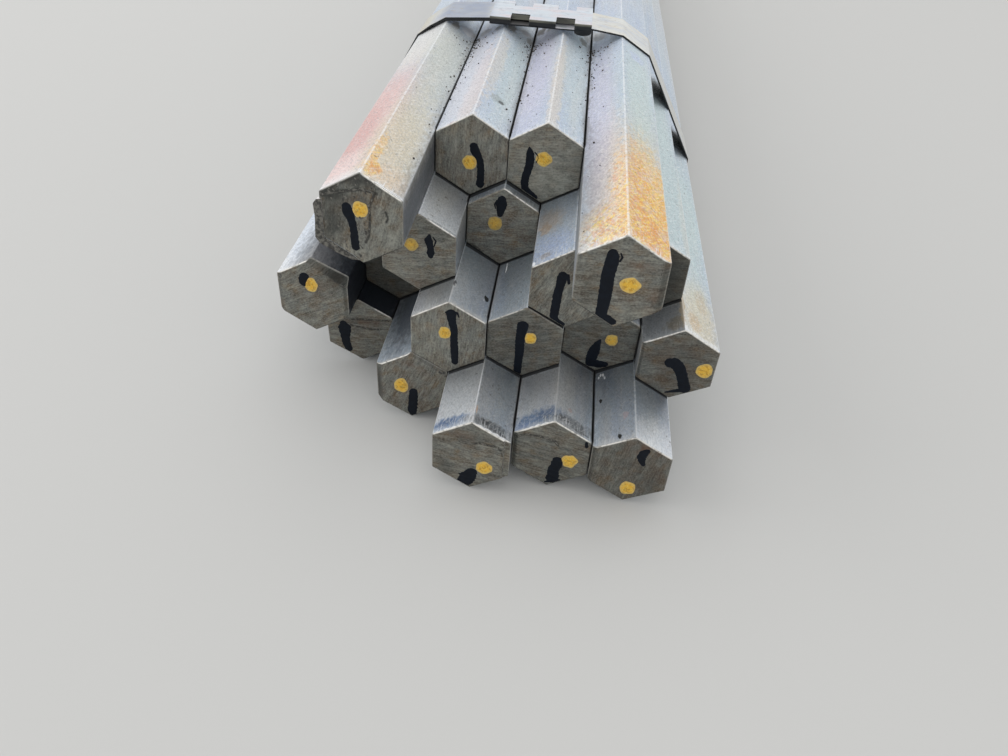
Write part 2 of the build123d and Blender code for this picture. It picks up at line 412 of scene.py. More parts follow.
def wander(along, seed, shortest, longest):
    """A smooth random line, mostly between -1 and 1: the sum of a few sine waves of random length
    and start, divided by the root of their number."""
    chance = np.random.default_rng(seed)
    lengths = chance.uniform(shortest, longest, LINE_WAVES)
    starts = chance.uniform(0, 2 * pi, LINE_WAVES)
    waves = np.sin(2 * pi * np.asarray(along)[..., None] / lengths + starts)
    return waves.sum(axis=-1) / np.sqrt(LINE_WAVES)


def torn(across, up, seed, shortest, longest):
    """A smooth random surface, mostly between -1.5 and 1.5: the same sum, with the waves going in
    random directions over the surface, and divided by the root of half their number."""
    chance = np.random.default_rng(seed)
    lengths = chance.uniform(shortest, longest, SURFACE_WAVES)
    starts = chance.uniform(0, 2 * pi, SURFACE_WAVES)
    way = chance.uniform(0, pi, SURFACE_WAVES)
    over = across[..., None] * np.cos(way) + up[..., None] * np.sin(way)
    return np.sin(2 * pi * over / lengths + starts).sum(axis=-1) / np.sqrt(SURFACE_WAVES / 2)


print("a line that wanders, at four places:", wander(np.arange(4), 0, 1, 3).round(2))

# %% [markdown]
# A band saw leaves a plane that isn't smooth: it is ribbed across, in lines that follow the blade,
# and here and there a tooth has torn it or the last sliver has broken away. Each end wears a thin
# plate with that relief, a few hundredths of a millimetre proud of the modelled end, so the marks
# are real geometry. The first bar of the top row was sheared instead: half of its end stands proud
# and its upper part is torn. Along the upper edges the saw pushed up a burr, a thin ragged lip of
# bright metal, and it is part of the plate: there the last rings rise and reach out.

# %% What the saw left
# The way the saw went, in degrees from level. The other bars were sawn nearly level.
SAW_ANGLES = {
    "bar_row1_1": 74, "bar_row1_2": 88, "bar_row2_4": 62, "bar_row3_1": 30, "bar_row3_3": 84,
    "bar_row3_4": 12, "bar_row4_2": 66, "bar_row4_3": -8, "bar_row4_4": -12, "bar_row4_5": 80,
}
USUAL_ANGLE = 4
# Torn lines: the points they go through in millimetres, how wide they are and how deep.
TORN_LINES = {
    "bar_row1_1": [
        (
            ((4.2, 8.5), (3.5, 6.6), (2.5, 4.3), (2.7, 1.7), (2.5, -1.5), (2.1, -4.9), (1.0, -7.4)), 0.45,
            0.25,
        ),
        (((-12.0, 6.4), (-6.1, 8.1), (0.0, 9.6), (4.8, 9.0)), 0.5, 0.2),
        (((7.5, 3.5), (8.2, 1.5), (7.6, 0.2)), 0.4, 0.15),
    ],
    "bar_row4_1": [
        (((-4.6, 2.8), (-2.4, 1.7), (0.8, 1.6), (3.8, 1.0), (7.8, 1.5)), 0.45, 0.2),
        (((-2.9, 5.0), (1.0, 5.5), (6.1, 5.7), (12.0, 6.2)), 0.4, 0.15),
    ],
    "bar_row4_3": [(
        (
            (-3.6, 6.0), (-0.3, 5.3), (2.8, 6.3), (5.1, 5.8), (7.1, 5.8), (8.7, 5.4), (10.1, 3.9),
            (10.5, 2.0),
        ),
        0.4, 0.2,
    )],
    "bar_row4_4": [(((-12.1, 5.6), (-9.0, 7.5), (-4.1, 7.5), (0.9, 6.2), (2.0, 4.6)), 0.4, 0.15)],
    "bar_row2_3": [(((-11.0, -8.0), (-9.0, -8.8), (-7.2, -10.2)), 0.5, 0.15)],
}
# Places that are lighter or darker than the rest: the middle, the half width and height, how much.
# The darkening of the whole ends of bar_row2_1 and bar_row3_2, deep in the bundle, and of the upper part of
# bar_row3_2's end is painted shade.
TONED_PLACES = {
    "bar_row1_1": [
        ((7.5, 0), (4.5, 9), 0.28), ((0, 12.2), (10, 2.2), -0.9), ((-9.5, 7.5), (3.4, 2.4), -0.8),
        ((-9, -2), (4.8, 9), -0.75), ((-1, 6.5), (7, 1.8), -0.45), ((-1, -10.5), (5, 2), 0.5),
        ((-6.5, -8), (2.2, 2.2), 0.5), ((9.5, -6), (2, 3), 0.3),
    ],
    "bar_row1_2": [((-3, 6), (8, 6), 0.25), ((0, 0), (16, 16), 0.2)],
    "bar_row1_3": [
        ((4, -6), (8, 5), 0.5), ((-2, 11), (6, 3), -0.2), ((5, 10), (1.2, 1.5), 0.6),
        ((0, 0), (16, 16), 0.6),
    ],
    "bar_row1_4": [
        ((4, -9.5), (5, 2), 0.5), ((-8, -4), (4, 7), -0.4), ((3, 5), (5, 3), 0.15),
        ((11.5, 0), (1.2, 9), -0.25),
    ],
    "bar_row2_2": [((-5, -6), (8, 5), 0.4), ((4, 9), (6, 3), -0.3)],
    "bar_row2_3": [((-7, 8), (5, 3.4), 0.4), ((0, -7), (9, 6), -0.15), ((9, 8), (3, 3), 0.4)],
    "bar_row2_4": [((-5, 2), (5, 8), 0.35), ((4, -9), (5, 4), 0.2), ((0, 0), (16, 16), -0.1)],
    "bar_row2_5": [((0, 0), (18, 18), -1.2)],
    "bar_row3_1": [((9, 8), (5, 4), -0.7)],
    "bar_row3_2": [((0, 0), (18, 18), -0.85), ((0, 8), (12, 6), -0.3)],
    "bar_row2_1": [((0, 0), (20, 20), -0.9)],
    "bar_row3_3": [((-5, 0), (6, 9), 0.4), ((9, 6), (3, 4), -0.2), ((0, 0), (16, 16), 0.1)],
    "bar_row3_4": [((0, 0), (16, 16), -0.5)],
    "bar_row3_5": [((0, 2), (16, 14), -0.42)],
    "bar_row3_6": [((0, 0), (16, 16), -0.55), ((-7, -6), (4, 4), 0.25)],
    "bar_row4_1": [((0, 4), (12, 1.6), -0.3), ((0, -2), (14, 12), -0.15), ((0, 8), (9, 2), 0.15)],
    "bar_row4_2": [((-12, -1), (1.2, 8), -0.6), ((12, -1), (1.2, 7), 0.5), ((3, 4), (8, 6), 0.1)],
    "bar_row4_3": [
        ((3, -1), (8, 5), 0.3), ((-9, -6), (3, 3), -0.5), ((0, 7.5), (9, 1.5), -0.35),
        ((0, 0), (16, 16), -0.12),
    ],
    "bar_row4_4": [((0, 0), (16, 16), -0.22), ((-3, 9), (6, 2), 0.2), ((5, -8), (4, 3), -0.2)],
    "bar_row4_5": [((0, 0), (16, 16), -0.5), ((-2, -2), (6, 6), 0.15), ((8, -5), (4, 6), -0.2)],
}
STAINED_PLACES = {
    "bar_row1_4": [((7.0, 6.2), (4.0, 1.6), 0.8), ((9.2, -4), (1.6, 4), 0.4), ((1, -5), (4, 4), 0.15)],
    "bar_row1_1": [((0, 6), (5, 2), 0.25)],
    "bar_row1_2": [((0, 0), (12, 12), 0.06)],
    "bar_row2_2": [((-2, -12), (3, 2.5), 0.5), ((-6, 4), (5, 4), 0.25)],
    "bar_row2_3": [((0, 0), (12, 12), 0.06)],
    "bar_row3_1": [((2, 3), (5, 4), 0.2)],
    "bar_row3_3": [((-4, 8), (5, 3), 0.25)],
    "bar_row3_6": [((0, 0), (12, 12), 0.2)],
    "bar_row4_1": [((2, 4), (8, 2.5), 0.45)],
    "bar_row4_2": [((1, 9), (4, 2.5), 0.35), ((0, 0), (12, 12), 0.15)],
    "bar_row4_3": [((-2, 8), (6, 3), 0.4)],
    "bar_row4_5": [((4, 10.2), (5, 2.4), 1.0), ((10.5, 2), (2, 5), 0.35), ((0, 0), (12, 12), 0.12)],
}
# Burrs: where one starts and ends in degrees round the axis, how far it stands up in millimetres and
# how bright it is, as bare metal with a painted highlight. The edges without one keep a thin dull rim.
BURRS = {
    "bar_row1_1": ((30, 90, 0.16, 1.0), (90, 150, 0.08, 0.5)), "bar_row1_2": ((30, 150, 0.07, 0.75),),
    "bar_row1_3": ((30, 150, 0.08, 0.8),), "bar_row1_4": ((30, 92, 0.12, 0.95), (92, 150, 0.1, 1.0)),
    "bar_row2_2": ((30, 78, 0.14, 1.0),), "bar_row2_3": ((30, 92, 0.16, 0.9),),
    "bar_row2_4": ((90, 150, 0.1, 0.9),), "bar_row2_5": ((30, 90, 0.06, 0.8),),
    "bar_row3_1": ((92, 152, 0.08, 0.9), (30, 90, 0.04, 0.25)), "bar_row3_3": ((30, 150, 0.09, 0.9),),
    "bar_row3_4": ((95, 150, 0.06, 0.6), (30, 85, 0.05, 0.15)), "bar_row3_5": ((30, 150, 0.05, 0.3),),
    "bar_row3_6": ((30, 150, 0.1, 0.95),), "bar_row4_1": ((30, 62, 0.12, 0.7),),
    "bar_row4_2": ((90, 150, 0.14, 1.0), (30, 90, 0.05, 0.1)),
    "bar_row4_3": ((90, 150, 0.1, 0.9), (30, 90, 0.24, 1.0)), "bar_row4_4": ((30, 150, 0.14, 0.95),),
    "bar_row4_5": ((30, 150, 0.08, 0.85),),
}
print(sum(len(lines) for lines in TORN_LINES.values()), "torn lines and", len(BURRS), "bars with burrs")

# %% [markdown]
# The relief of an end is one function of a point's place on it. The plate uses it, and so do the
# marks of paint, which have to follow the same ribs. The ribs are a wandering line across the saw's
# way, and a second one bends them a little, because a blade doesn't run quite straight.

# %% The shape of a sawn end
# Heights in millimetres, each with the shortest and the longest of its waves.
PLATE_PROUD = 0.06
RIB_HEIGHT, RIB_SPACING, RIB_DRIFT = 0.016, (1.1, 3.0), (8, 20)
WAVE_HEIGHT, WAVE_LENGTH = 0.02, (9, 30)
TORN_HEIGHT, TORN_SPACING = 0.05, (1.2, 4.0)
# The share of a torn line's depth that wanders, with its waves, and how much the ribs drift.
TEAR_RAGGEDNESS, TEAR_SPACING, DRIFT = 0.4, (0.8, 3), 0.15
# The bar whose right part stands up by a step, and half the widths of that step and of a ledge's.
SHEARED_BAR, SHEAR_STEP, STEP_HALF, LEDGE_HALF = "bar_row1_1", 0.2, 0.3, 0.15
# How much calmer the torn face is beyond that step, and over which half width it gets so.
CALM, CALM_HALF = 0.8, 0.5
NO_LEDGE = (100.0, 0.0)


def to_line(across, up, line):
    """The distance from each point to the nearest of a line's straight runs."""
    line = np.array(line)
    start, run = line[:-1], np.diff(line, axis=0)
    off = np.stack([across, up], axis=-1)[..., None, :] - start
    share = np.clip((off * run).sum(-1) / (run * run).sum(-1), 0, 1)
    return np.linalg.norm(off - share[..., None] * run, axis=-1).min(axis=-1)


def in_places(across, up, places):
    """The sum of soft round patches: each is its strength times e to the power of minus the squared
    distance from its middle, measured in half widths and half heights."""
    total = np.zeros_like(across)
    for (x, z), (half_width, half_height), strength in places:
        total += strength * np.exp(-(((across - x) / half_width) ** 2 + ((up - z) / half_height) ** 2))
    return total


def step(value, low, high):
    """0 below low, 1 above high, and three times the square less twice the cube between them."""
    share = np.clip((value - low) / (high - low), 0, 1)
    return share * share * (3 - 2 * share)


def saw_map(end, across, up):
    """How far points are along the saw's way and over it, in millimetres."""
    way = radians(SAW_ANGLES.get(end.name, USUAL_ANGLE) if end.way == FRONT else 2 * USUAL_ANGLE)
    return across * cos(way) + up * sin(way), up * cos(way) - across * sin(way)


def relief(end, across, up):
    """How far the plate's face stands proud of the end, in millimetres: ribs across the saw's way
    and a slow wave, with the torn half of the sheared bar, less the torn lines and the ledge."""
    seed = bar_names.index(end.name) + (200 if end.way == BACK else 0)
    along, over = saw_map(end, across, up)
    ribs = wander(over + DRIFT * wander(along, seed + 40, *RIB_DRIFT), seed, *RIB_SPACING)
    proud = PLATE_PROUD + RIB_HEIGHT * ribs + WAVE_HEIGHT * wander(over, seed + 80, *WAVE_LENGTH)
    if end.way == BACK:
        return proud
    if end.name == SHEARED_BAR:
        crack = np.array(TORN_LINES[end.name][0][0])[::-1]
        beyond = across - np.interp(up, crack[:, 1], crack[:, 0])
        proud = proud + SHEAR_STEP * step(beyond, -STEP_HALF, STEP_HALF)
        calmer = 1 - CALM * step(beyond, -CALM_HALF, CALM_HALF)
        proud = proud + TORN_HEIGHT * torn(across, up, seed, *TORN_SPACING) * calmer
    for line, width, depth in TORN_LINES.get(end.name, ()):
        ragged = 1 + TEAR_RAGGEDNESS * wander(across + up, seed + 120, *TEAR_SPACING)
        proud = proud - depth * ragged * np.exp(-((to_line(across, up, line) / (width / 2)) ** 2))
    start, drop = LEDGES.get(end.name, NO_LEDGE)
    return proud - drop * step(across, start - LEDGE_HALF, start + LEDGE_HALF)


middle = np.zeros(1)
proud = relief(front_ends[bar_names[0]], middle, middle)
print("the first plate stands", proud.round(3), "mm proud at its middle")

# %% [markdown]
# The plate's rings grow from the axis of the bar to its rim. The last eight lie close together, so
# that the burr has points enough to rise and reach out on, and one more ring tucks the plate's edge
# into the sides of the bar. Where the end has been worn below its saw cut, the plate is marked as
# darker, and along the lower edges it is marked darker as painted shade. The finish that follows
# reads those numbers.

# %% The plate on a sawn end
HALF_FLAT = 12.7
RIM_WIDTH = 0.9
# How far in from the outline the rings of the rim lie, in millimetres.
RIM_RINGS = np.array([0.9, 0.7, 0.52, 0.38, 0.27, 0.17, 0.08, 0.0])
BURR_REACH = 0.6
SKIRT, SKIRT_INSET = 0.35, 0.03
RIM_HEIGHT, RIM_DULL = 0.02, 0.12
# Where the rim rises, from inside to outside, and which directions count as the lower edges, which
# are painted darker as shade and lose their bright rim.
RIM_RISE, SHADED_LOWER_EDGES = (-0.42, -0.12), (0.4, 0.6)
# How much darker worn and torn places are, from which depth on, and how wide beside a torn line.
WORN_DARK, WORN_FROM, TORN_DARK, TORN_WIDTH = 0.4, (0.05, 0.3), 1.6, 0.8
FINE_RAGS, COARSE_RAGS = (0.7, 2.5), (4, 12)
# How far apart the maps of two plates lie, so that no two of them look the same.
MAP_SHIFT = 40.0


def burr_round(end, angle):
    """How high the burr stands and how bright the rim is in each direction from the axis. Both
    wander, and fade out at the ends of a burr."""
    high, bright = np.full_like(angle, RIM_HEIGHT), np.full_like(angle, RIM_DULL)
    degrees_round = np.degrees(angle)
    seed = bar_names.index(end.name) + 300
    along = angle * HALF_FLAT
    ragged = 0.75 + 0.35 * wander(along, seed, *FINE_RAGS) + 0.25 * wander(along, seed + 1, *COARSE_RAGS)
    ragged = np.clip(ragged, 0.1, 1.6)
    for begin, stop, height, brightness in BURRS.get(end.name, ()) if end.way == FRONT else ():
        here = step(degrees_round, begin - 1, begin + 3) * (1 - step(degrees_round, stop - 3, stop + 1))
        high = np.maximum(high, here * height * ragged)
        bright = np.maximum(bright, here * brightness * np.clip(ragged + 0.25, 0, 1))
    return high, bright


def plate_numbers(end, across, up, near_edge, bright, lower):
    """What the finish reads on a plate's points: how light or dark, how stained and how bright the
    rim is. The skirt repeats the numbers of the last ring."""
    tables = (TONED_PLACES, STAINED_PLACES, TORN_LINES) if end.way == FRONT else ({}, {}, {})
    toned, stained, lines = (table.get(end.name, ()) for table in tables)
    worn = step(end.worn(across, up), *WORN_FROM) * (1 - near_edge)
    # The lower edges are painted darker as shade, and lose their bright rim.
    tone = in_places(across, up, toned) - WORN_DARK * worn - near_edge * lower
    for line, width, _ in lines:
        tone = tone - TORN_DARK * np.exp(-((to_line(across, up, line) / (width * TORN_WIDTH)) ** 2))
    stain, rim = in_places(across, up, stained), near_edge * bright * (1 - lower)
    values = {"tone": tone, "stain": stain, "rim": rim}
    return {key: np.concatenate([value, value[-1:]]) for key, value in values.items()}


def end_plate(end, finish, rings, around):
    """The plate on one end of a bar. Rings grow from the axis to the rim, follow the rim over the
    broken edge, rise there with the burr, and tuck into the bar's sides as a skirt."""
    angle = np.linspace(0, 2 * pi, around, endpoint=False)
    reach = end.reach(angle)
    high, bright = burr_round(end, angle)
    share = np.linspace(1 / rings, 1, rings, endpoint=False)[:, None]
    offsets = np.concatenate([(reach - RIM_WIDTH) * share, reach - RIM_RINGS[:, None]])
    near_edge = np.concatenate([np.zeros_like(share), step(-RIM_RINGS, *RIM_RISE)[:, None]])
    reached = offsets + BURR_REACH * high * near_edge ** 2
    across, up = reached * np.cos(angle), reached * np.sin(angle)
    proud = relief(end, across, up) + high * near_edge
    face = end.point(across, up, proud)
    under = np.stack([across[-1], up[-1]]) * ((reach - SKIRT_INSET) / reached[-1])
    skirt = end.point(under[0], under[1], proud[-1] - SKIRT)[None]
    middle = np.zeros(1)
    first = end.point(middle, middle, relief(end, middle, middle))[0]
    last = end.point(middle, middle, middle - SKIRT)[0]
    values = plate_numbers(end, across, up, near_edge, bright, step(-np.sin(angle), *SHADED_LOWER_EDGES))
    name = f"sawn_{'front' if end.way == FRONT else 'back'}_{end.name[4:]}"
    shell = (first, np.concatenate([face, skirt]), last, 0, values)
    piece = shell_piece(name, [shell], [finish])

    # The map that the finish reads: along and over the saw's way, in millimetres.
    corners = np.empty(len(piece.data.loops), int)
    piece.data.loops.foreach_get("vertex_index", corners)
    across = np.concatenate([[0], across.ravel(), across[-1], [0]])
    up = np.concatenate([[0], up.ravel(), up[-1], [0]])
    along, over = saw_map(end, across, up)
    along = along + MAP_SHIFT * (bar_names.index(end.name) + len(bar_names) * (end.way == BACK))
    layer = piece.data.uv_layers.new(name="saw_way")
    layer.data.foreach_set("uv", np.stack([along, over], axis=1)[corners].ravel())
    return piece


print("a rim of", len(RIM_RINGS), "rings within", RIM_WIDTH, "mm")

# %% [markdown]
# A sawn end is dull. Its ribs scatter light, and in the yard it has taken on a thin brownish skin of
# oil, dust and rust, so it is far less like a mirror than the drawn sides. The finish therefore
# starts from a low metallic value and a high roughness. Its pattern follows the plate's own map,
# which runs along the saw's way in millimetres: long thin streaks for the teeth, soft patches for
# the skin, and the tone, stain and rim numbers from the plate on top. The real tooth marks are
# about a quarter of a millimetre apart. The coarser of the two streak patterns here is wider, so
# that it shows in the render.

# %% Sawn steel
SAWN_GREY, SAWN_BROWN, SAWN_OCHRE = "#6f716d", "#655748", "#745a36"
SAWN_LIGHT, SAWN_DARK = "#b3b4a8", "#222422"
OLD_RUST, BARE_METAL_HIGHLIGHT = "#5a3822", "#f6f4ee"
# How many rings and how many points round them the plates have.
FRONT_MESH, BACK_MESH = (34, 156), (12, 72)

sawn_steel, tree, shader = new_finish("band_sawn_steel")
place = add(tree, "UVMap", {}, uv_map="saw_way")["UV"]
tone, stain, rim = (
    add(tree, "Attribute", {}, attribute_name=number)["Fac"] for number in ("tone", "stain", "rim")
)
teeth = patches(tree, place, (7, 0.6, 1), 0.4, 0.66)
fine_teeth = patches(tree, place, (3.2, 0.3, 1), 0.4, 0.66)
skin = patches(tree, place, (6, 5, 1), 0.35, 0.68)
grain = patches(tree, place, (0.7, 0.5, 1), 0.42, 0.64)
darker = add(tree, "Math", {0: tone, 1: -1.0}, operation="MULTIPLY", use_clamp=True)["Value"]
lighter = add(tree, "Math", {0: tone, 1: 1.0}, operation="MULTIPLY", use_clamp=True)["Value"]
colour = layered(tree, SAWN_GREY, [
    (skin, 0.8, SAWN_BROWN),
    (patches(tree, place, (5.6, 4.4, 1), 0.5, 0.7), 0.6, SAWN_OCHRE),
    (lighter, 0.6, SAWN_LIGHT),
    (patches(tree, place, (4.2, 2.4, 1), 0.42, 0.64), 0.34, SAWN_DARK),
    (patches(tree, place, (5.0, 1.7, 1), 0.5, 0.68), 0.32, SAWN_LIGHT),
    (teeth, 0.26, SAWN_LIGHT),
    (fine_teeth, 0.26, SAWN_DARK),
    (grain, 0.22, SAWN_LIGHT),
    (patches(tree, place, (1.0, 0.7, 1), 0.5, 0.68), 0.3, SAWN_DARK),
    (patches(tree, place, (1.4, 1.0, 1), 0.66, 0.73), 0.6, SAWN_DARK),
    # The tone holds painted shade along the lower edges and on the ends deep in the bundle, besides the ends'
    # own lighter and darker places.
    (darker, 0.85, SAWN_DARK),
    (product(tree, stain, between(tree, skin, -0.3, 0.8)), 0.85, OLD_RUST),
    # The bright rim of the burrs is bare metal with a painted highlight.
    (rim, 1, BARE_METAL_HIGHLIGHT),
])
height = add(tree, "Math", {0: teeth, 1: fine_teeth}, operation="ADD")["Value"]
height = add(tree, "Math", {0: height, 1: grain}, operation="ADD")["Value"]
plug(tree, shader, {
    "Base Color": colour,
    "Roughness": add(tree, "MapRange", {"Value": teeth, "To Min": 0.5, "To Max": 0.66})["Result"],
    "Metallic": add(tree, "MapRange", {"Value": rim, "To Min": 0.35, "To Max": 0.8})["Result"],
    "Normal": add(tree, "Bump", {"Height": height, "Strength": 0.45, "Distance": 0.03 * MM})["Normal"],
})

for name in bar_names:
    end_plate(front_ends[name], sawn_steel, *FRONT_MESH)
    end_plate(back_ends[name], sawn_steel, *BACK_MESH)
print(len(bar_names), "bars sawn at both ends")

# %% [markdown]
# The bars carry checkers' marks: strokes of black marker on all but two of the ends that show, and
# on most of them a dot from a yellow paint pen. Each is a thin raised skin of paint that follows the
# saw marks under it. A stroke is a width carried along a line, with rounded ends. Both its edges
# wander a little, each on its own, as a felt tip does on rough metal. A dot is a disc with a
# wandering rim. The sizes were measured on the photograph, in millimetres from each bar's axis.

# %% Where the marks are
# Each dot: how far right and up its middle is, and half its width and height.
DOTS = {
    "bar_row1_1": (-0.3, 3.2, 2.4, 2.6), "bar_row1_2": (-0.5, -2.4, 2.5, 2.5),
    "bar_row1_3": (-0.4, 1.8, 2.8, 2.6), "bar_row1_4": (2.7, -0.2, 3.05, 2.25),
    "bar_row2_2": (-2.5, 3.0, 2.5, 2.3), "bar_row2_3": (-2.6, 1.4, 2.5, 2.5),
    "bar_row3_1": (-0.2, 4.6, 2.6, 2.8), "bar_row3_3": (-1.2, 2.2, 2.0, 2.5),
    "bar_row3_4": (2.0, 2.3, 2.0, 2.2), "bar_row3_5": (4.0, 0.2, 2.1, 2.4),
    "bar_row3_6": (9.3, -0.8, 2.8, 2.8), "bar_row4_2": (-3.5, -0.2, 2.5, 3.2),
    "bar_row4_3": (4.6, -4.4, 2.8, 2.6), "bar_row4_4": (6.5, -1.9, 2.7, 2.7),
    "bar_row4_5": (0.8, -8.3, 2.5, 3.0),
}
# Each stroke goes through points, given as right, up and half its width there.
STROKES = {
    "bar_row1_1": [(
        (-4.4, 3.6, 1.5), (-4.2, 2.1, 1.8), (-3.5, 0.6, 1.5), (-3, -1, 1.3), (-2.6, -3.2, 1.2),
        (-2.5, -5.8, 1.3), (-2.3, -9.4, 1.3),
    )],
    "bar_row1_2": [(
        (0.8, 3.5, 1.5), (1.3, 1.8, 1.7), (2.4, 0.1, 1.4), (3.3, -2, 1.3), (3.6, -4.9, 1.3),
        (3.6, -7.9, 1.3), (3.5, -10.1, 1.5),
    )],
    "bar_row1_3": [
        (
            (-5.7, 5.6, 0.3), (-5.4, 4.1, 1.2), (-5.1, 2.3, 1.5), (-5.1, -0.2, 1.5), (-5.6, -2.8, 1.4),
            (-6.3, -5.5, 1.4), (-6.4, -8.1, 1.4), (-6.0, -9.8, 1.3), (-4.2, -11.2, 1.1), (-2.2, -12.6, 1.0),
        ),
        ((-3.7, 3.9, 0.2), (-2.6, 2.9, 0.25), (-2.3, 1.9, 0.25), (-2.9, 0.4, 0.2)),
    ],
    "bar_row1_4": [
        (
            (-3.4, 8.9, 1.5), (-3.2, 7.4, 1.9), (-3.4, 5.1, 1.9), (-3.8, 2.0, 1.9), (-3.7, -1.2, 1.9),
            (-3.7, -4.4, 1.9), (-3.8, -8.4, 1.7), (-4.1, -11.2, 1.7), (-2.3, -12.0, 1.5),
            (-0.2, -12.8, 1.1),
        ),
        ((-1.3, 9.1, 0.2), (-0.7, 7.9, 0.3), (-1.2, 6.7, 0.3)),
    ],
    "bar_row2_2": [
        (
            (3.7, 7.2, 0.5), (3.4, 5.3, 1.5), (3.9, 3.4, 1.2), (4.1, 2.3, 1.1), (4.1, 0.4, 1.4),
            (4.1, -0.7, 0.9),
        ),
        ((4.9, 6.6, 0.2), (5.9, 5.2, 0.3), (5.3, 3.2, 0.2)),
    ],
    "bar_row2_3": [
        ((-0.6, 10.5, 1.5), (-0.7, 8.8, 2.1), (-0.8, 6.9, 1.6), (-1.0, 5.0, 1.1)),
        ((-2.4, 10.1, 0.2), (-3.1, 8.5, 0.3), (-2.7, 7.0, 0.2)),
    ],
    "bar_row2_4": [
        (
            (-2.6, 5.4, 1.6), (-2.8, 3.9, 1.7), (-3.1, 1.3, 1.4), (-3.6, -1.8, 1.5), (-3.7, -5.3, 1.5),
            (-3.9, -8.8, 1.5), (-3.9, -11.4, 1.4), (-2.3, -12.6, 1.0), (-0.6, -13.4, 0.8),
        ),
        ((-1.0, 5.6, 0.5), (-0.4, 2.7, 0.5)),
    ],
    "bar_row3_1": [((-2.3, 7.4, 1.9), (-2.5, 6.4, 2.1), (-2.6, 5.6, 1.9))],
    "bar_row3_3": [
        ((-0.8, 10.5, 0.4), (0.8, 11.3, 0.5), (3.0, 10.6, 0.4), (3.5, 9.0, 0.2)),
        (
            (0.9, 10.3, 1.8), (1.2, 7.2, 1.4), (2.0, 4.0, 1.3), (2.0, 0.3, 1.3), (2.3, -4.8, 1.4),
            (2.5, -9.9, 1.2),
        ),
    ],
    "bar_row3_4": [(
        (-0.9, 7.4, 2.0), (-1.1, 5.3, 1.8), (-1.5, 1.0, 1.6), (-1.3, -3.3, 1.6), (-1.4, -6.8, 1.4),
        (-1.5, -10.9, 1.4), (-1.5, -13.0, 1.4),
    )],
    "bar_row3_5": [
        ((0.2, -0.3, 0.4), (-0.6, -2.2, 1.2), (-1.3, -5.2, 2.0), (-1.9, -8.6, 2.0), (-2.2, -11.2, 1.6)),
        ((-1.5, -11.0, 1.7), (1.2, -11.2, 1.7), (3.2, -11.0, 1.2)),
    ],
    "bar_row3_6": [
        (
            (-2.4, 0.8, 2.0), (-0.7, 0.8, 2.3), (0.9, -0.9, 2.1), (2.2, -3.3, 1.9), (3.3, -6.3, 1.9),
            (4.4, -9.5, 2.1),
        ),
        ((-1.6, -12.2, 0.3), (2.2, -10.8, 0.8), (5.6, -9.6, 1.0)),
    ],
    "bar_row4_1": [(
        (-6.4, 2.6, 1.5), (-6.1, 1.0, 2.7), (-6.1, -1.4, 2.3), (-6.2, -4.0, 1.8), (-6.0, -6.8, 1.7),
        (-5.2, -9.8, 1.5),
    )],
    "bar_row4_2": [(
        (0.8, -2.4, 1.5), (0.7, -4.8, 1.7), (0.5, -8.2, 1.7), (0.2, -11.7, 1.8), (0.4, -13.0, 1.4),
    )],
    "bar_row4_3": [
        ((0.6, -7.2, 1.9), (-0.4, -9.2, 2.7), (-1.4, -11.2, 2.7), (-2.0, -12.6, 2.2)),
        ((-3.6, -8.6, 0.3), (-1.9, -9.2, 0.7)), ((-4.2, -11.8, 0.3), (-2.5, -11.9, 0.8)),
    ],
    "bar_row4_4": [
        ((2.6, -2.5, 1.9), (2.4, -4.6, 1.9), (1.4, -7.4, 1.9), (1.9, -9.4, 2.0), (1.5, -11.0, 2.2)),
        ((-0.6, -13.0, 0.4), (1.7, -12.3, 0.7), (4.0, -11.4, 0.5)), ((11.0, 7.2, 0.5), (11.2, 5.6, 0.6)),
    ],
    "bar_row4_5": [((4.3, 9.6, 1.0), (3.4, 8.6, 1.5), (2.9, 6.6, 1.5), (3.3, 4.9, 1.1), (4.0, 3.4, 0.7))],
}
# How far some of the dots have been rubbed away.
RUBBED = {"bar_row2_2": 0.45, "bar_row2_3": 0.5, "bar_row3_3": 0.1, "bar_row3_5": 0.3}
print(len(DOTS), "dots and", sum(len(lines) for lines in STROKES.values()), "strokes")

# %% [markdown]
# Every mark is a closed shell again. Its top lies up to a tenth of a millimetre above the relief of
# the plate, and its underside is sunk into the plate, so that no gap shows at the edge. A stroke's
# line is cut into even steps and smoothed first, because a hand doesn't draw corners.

# %% Strokes of marker
PAINT_THICKNESS, PAINT_ROOT = 0.1, 0.06
EDGE_MARGIN = 0.5
STROKE_STEPS, STROKE_SIDES = 56, 14
# How many steps of a stroke are smoothed together, and the rings and first angle of its round ends.
SMOOTHED_OVER, CAP_RINGS, CAP_START = 7, 8, 0.06
# How far the edges of marks wander, as a share of their size, and the waves in a stroke's edges.
WOBBLE, STROKE_EDGE = 0.05, (0.7, 3)
YELLOW, BLACK = 0, 1


def on_end(end, across, up, thickness):
    """Points of a mark: no further out than the end's rim, and raised above the plate's relief."""
    from_axis = np.maximum(np.hypot(across, up), ALMOST_ZERO)
    inside = np.minimum(1, (end.reach(np.arctan2(up, across)) - EDGE_MARGIN) / from_axis)
    across, up = across * inside, up * inside
    return end.point(across, up, relief(end, across, up) + thickness)


def smoothed(line):
    """A line of points and half widths, cut into even steps. Each is the mean of the steps round it,
    weighted by a raised cosine."""
    line = np.array(line)
    gone = np.concatenate([[0], np.cumsum(np.hypot(*np.diff(line[:, :2], axis=0).T))])
    steps = np.linspace(0, gone[-1], STROKE_STEPS)
    middle = np.stack([np.interp(steps, gone, part) for part in line.T], axis=1)
    kernel = np.hanning(SMOOTHED_OVER + 2)[1:-1]
    aside = SMOOTHED_OVER // 2
    padded = np.pad(middle, ((aside, aside), (0, 0)), mode="edge")
    return np.stack([np.convolve(part, kernel / kernel.sum(), "valid") for part in padded.T], axis=1)


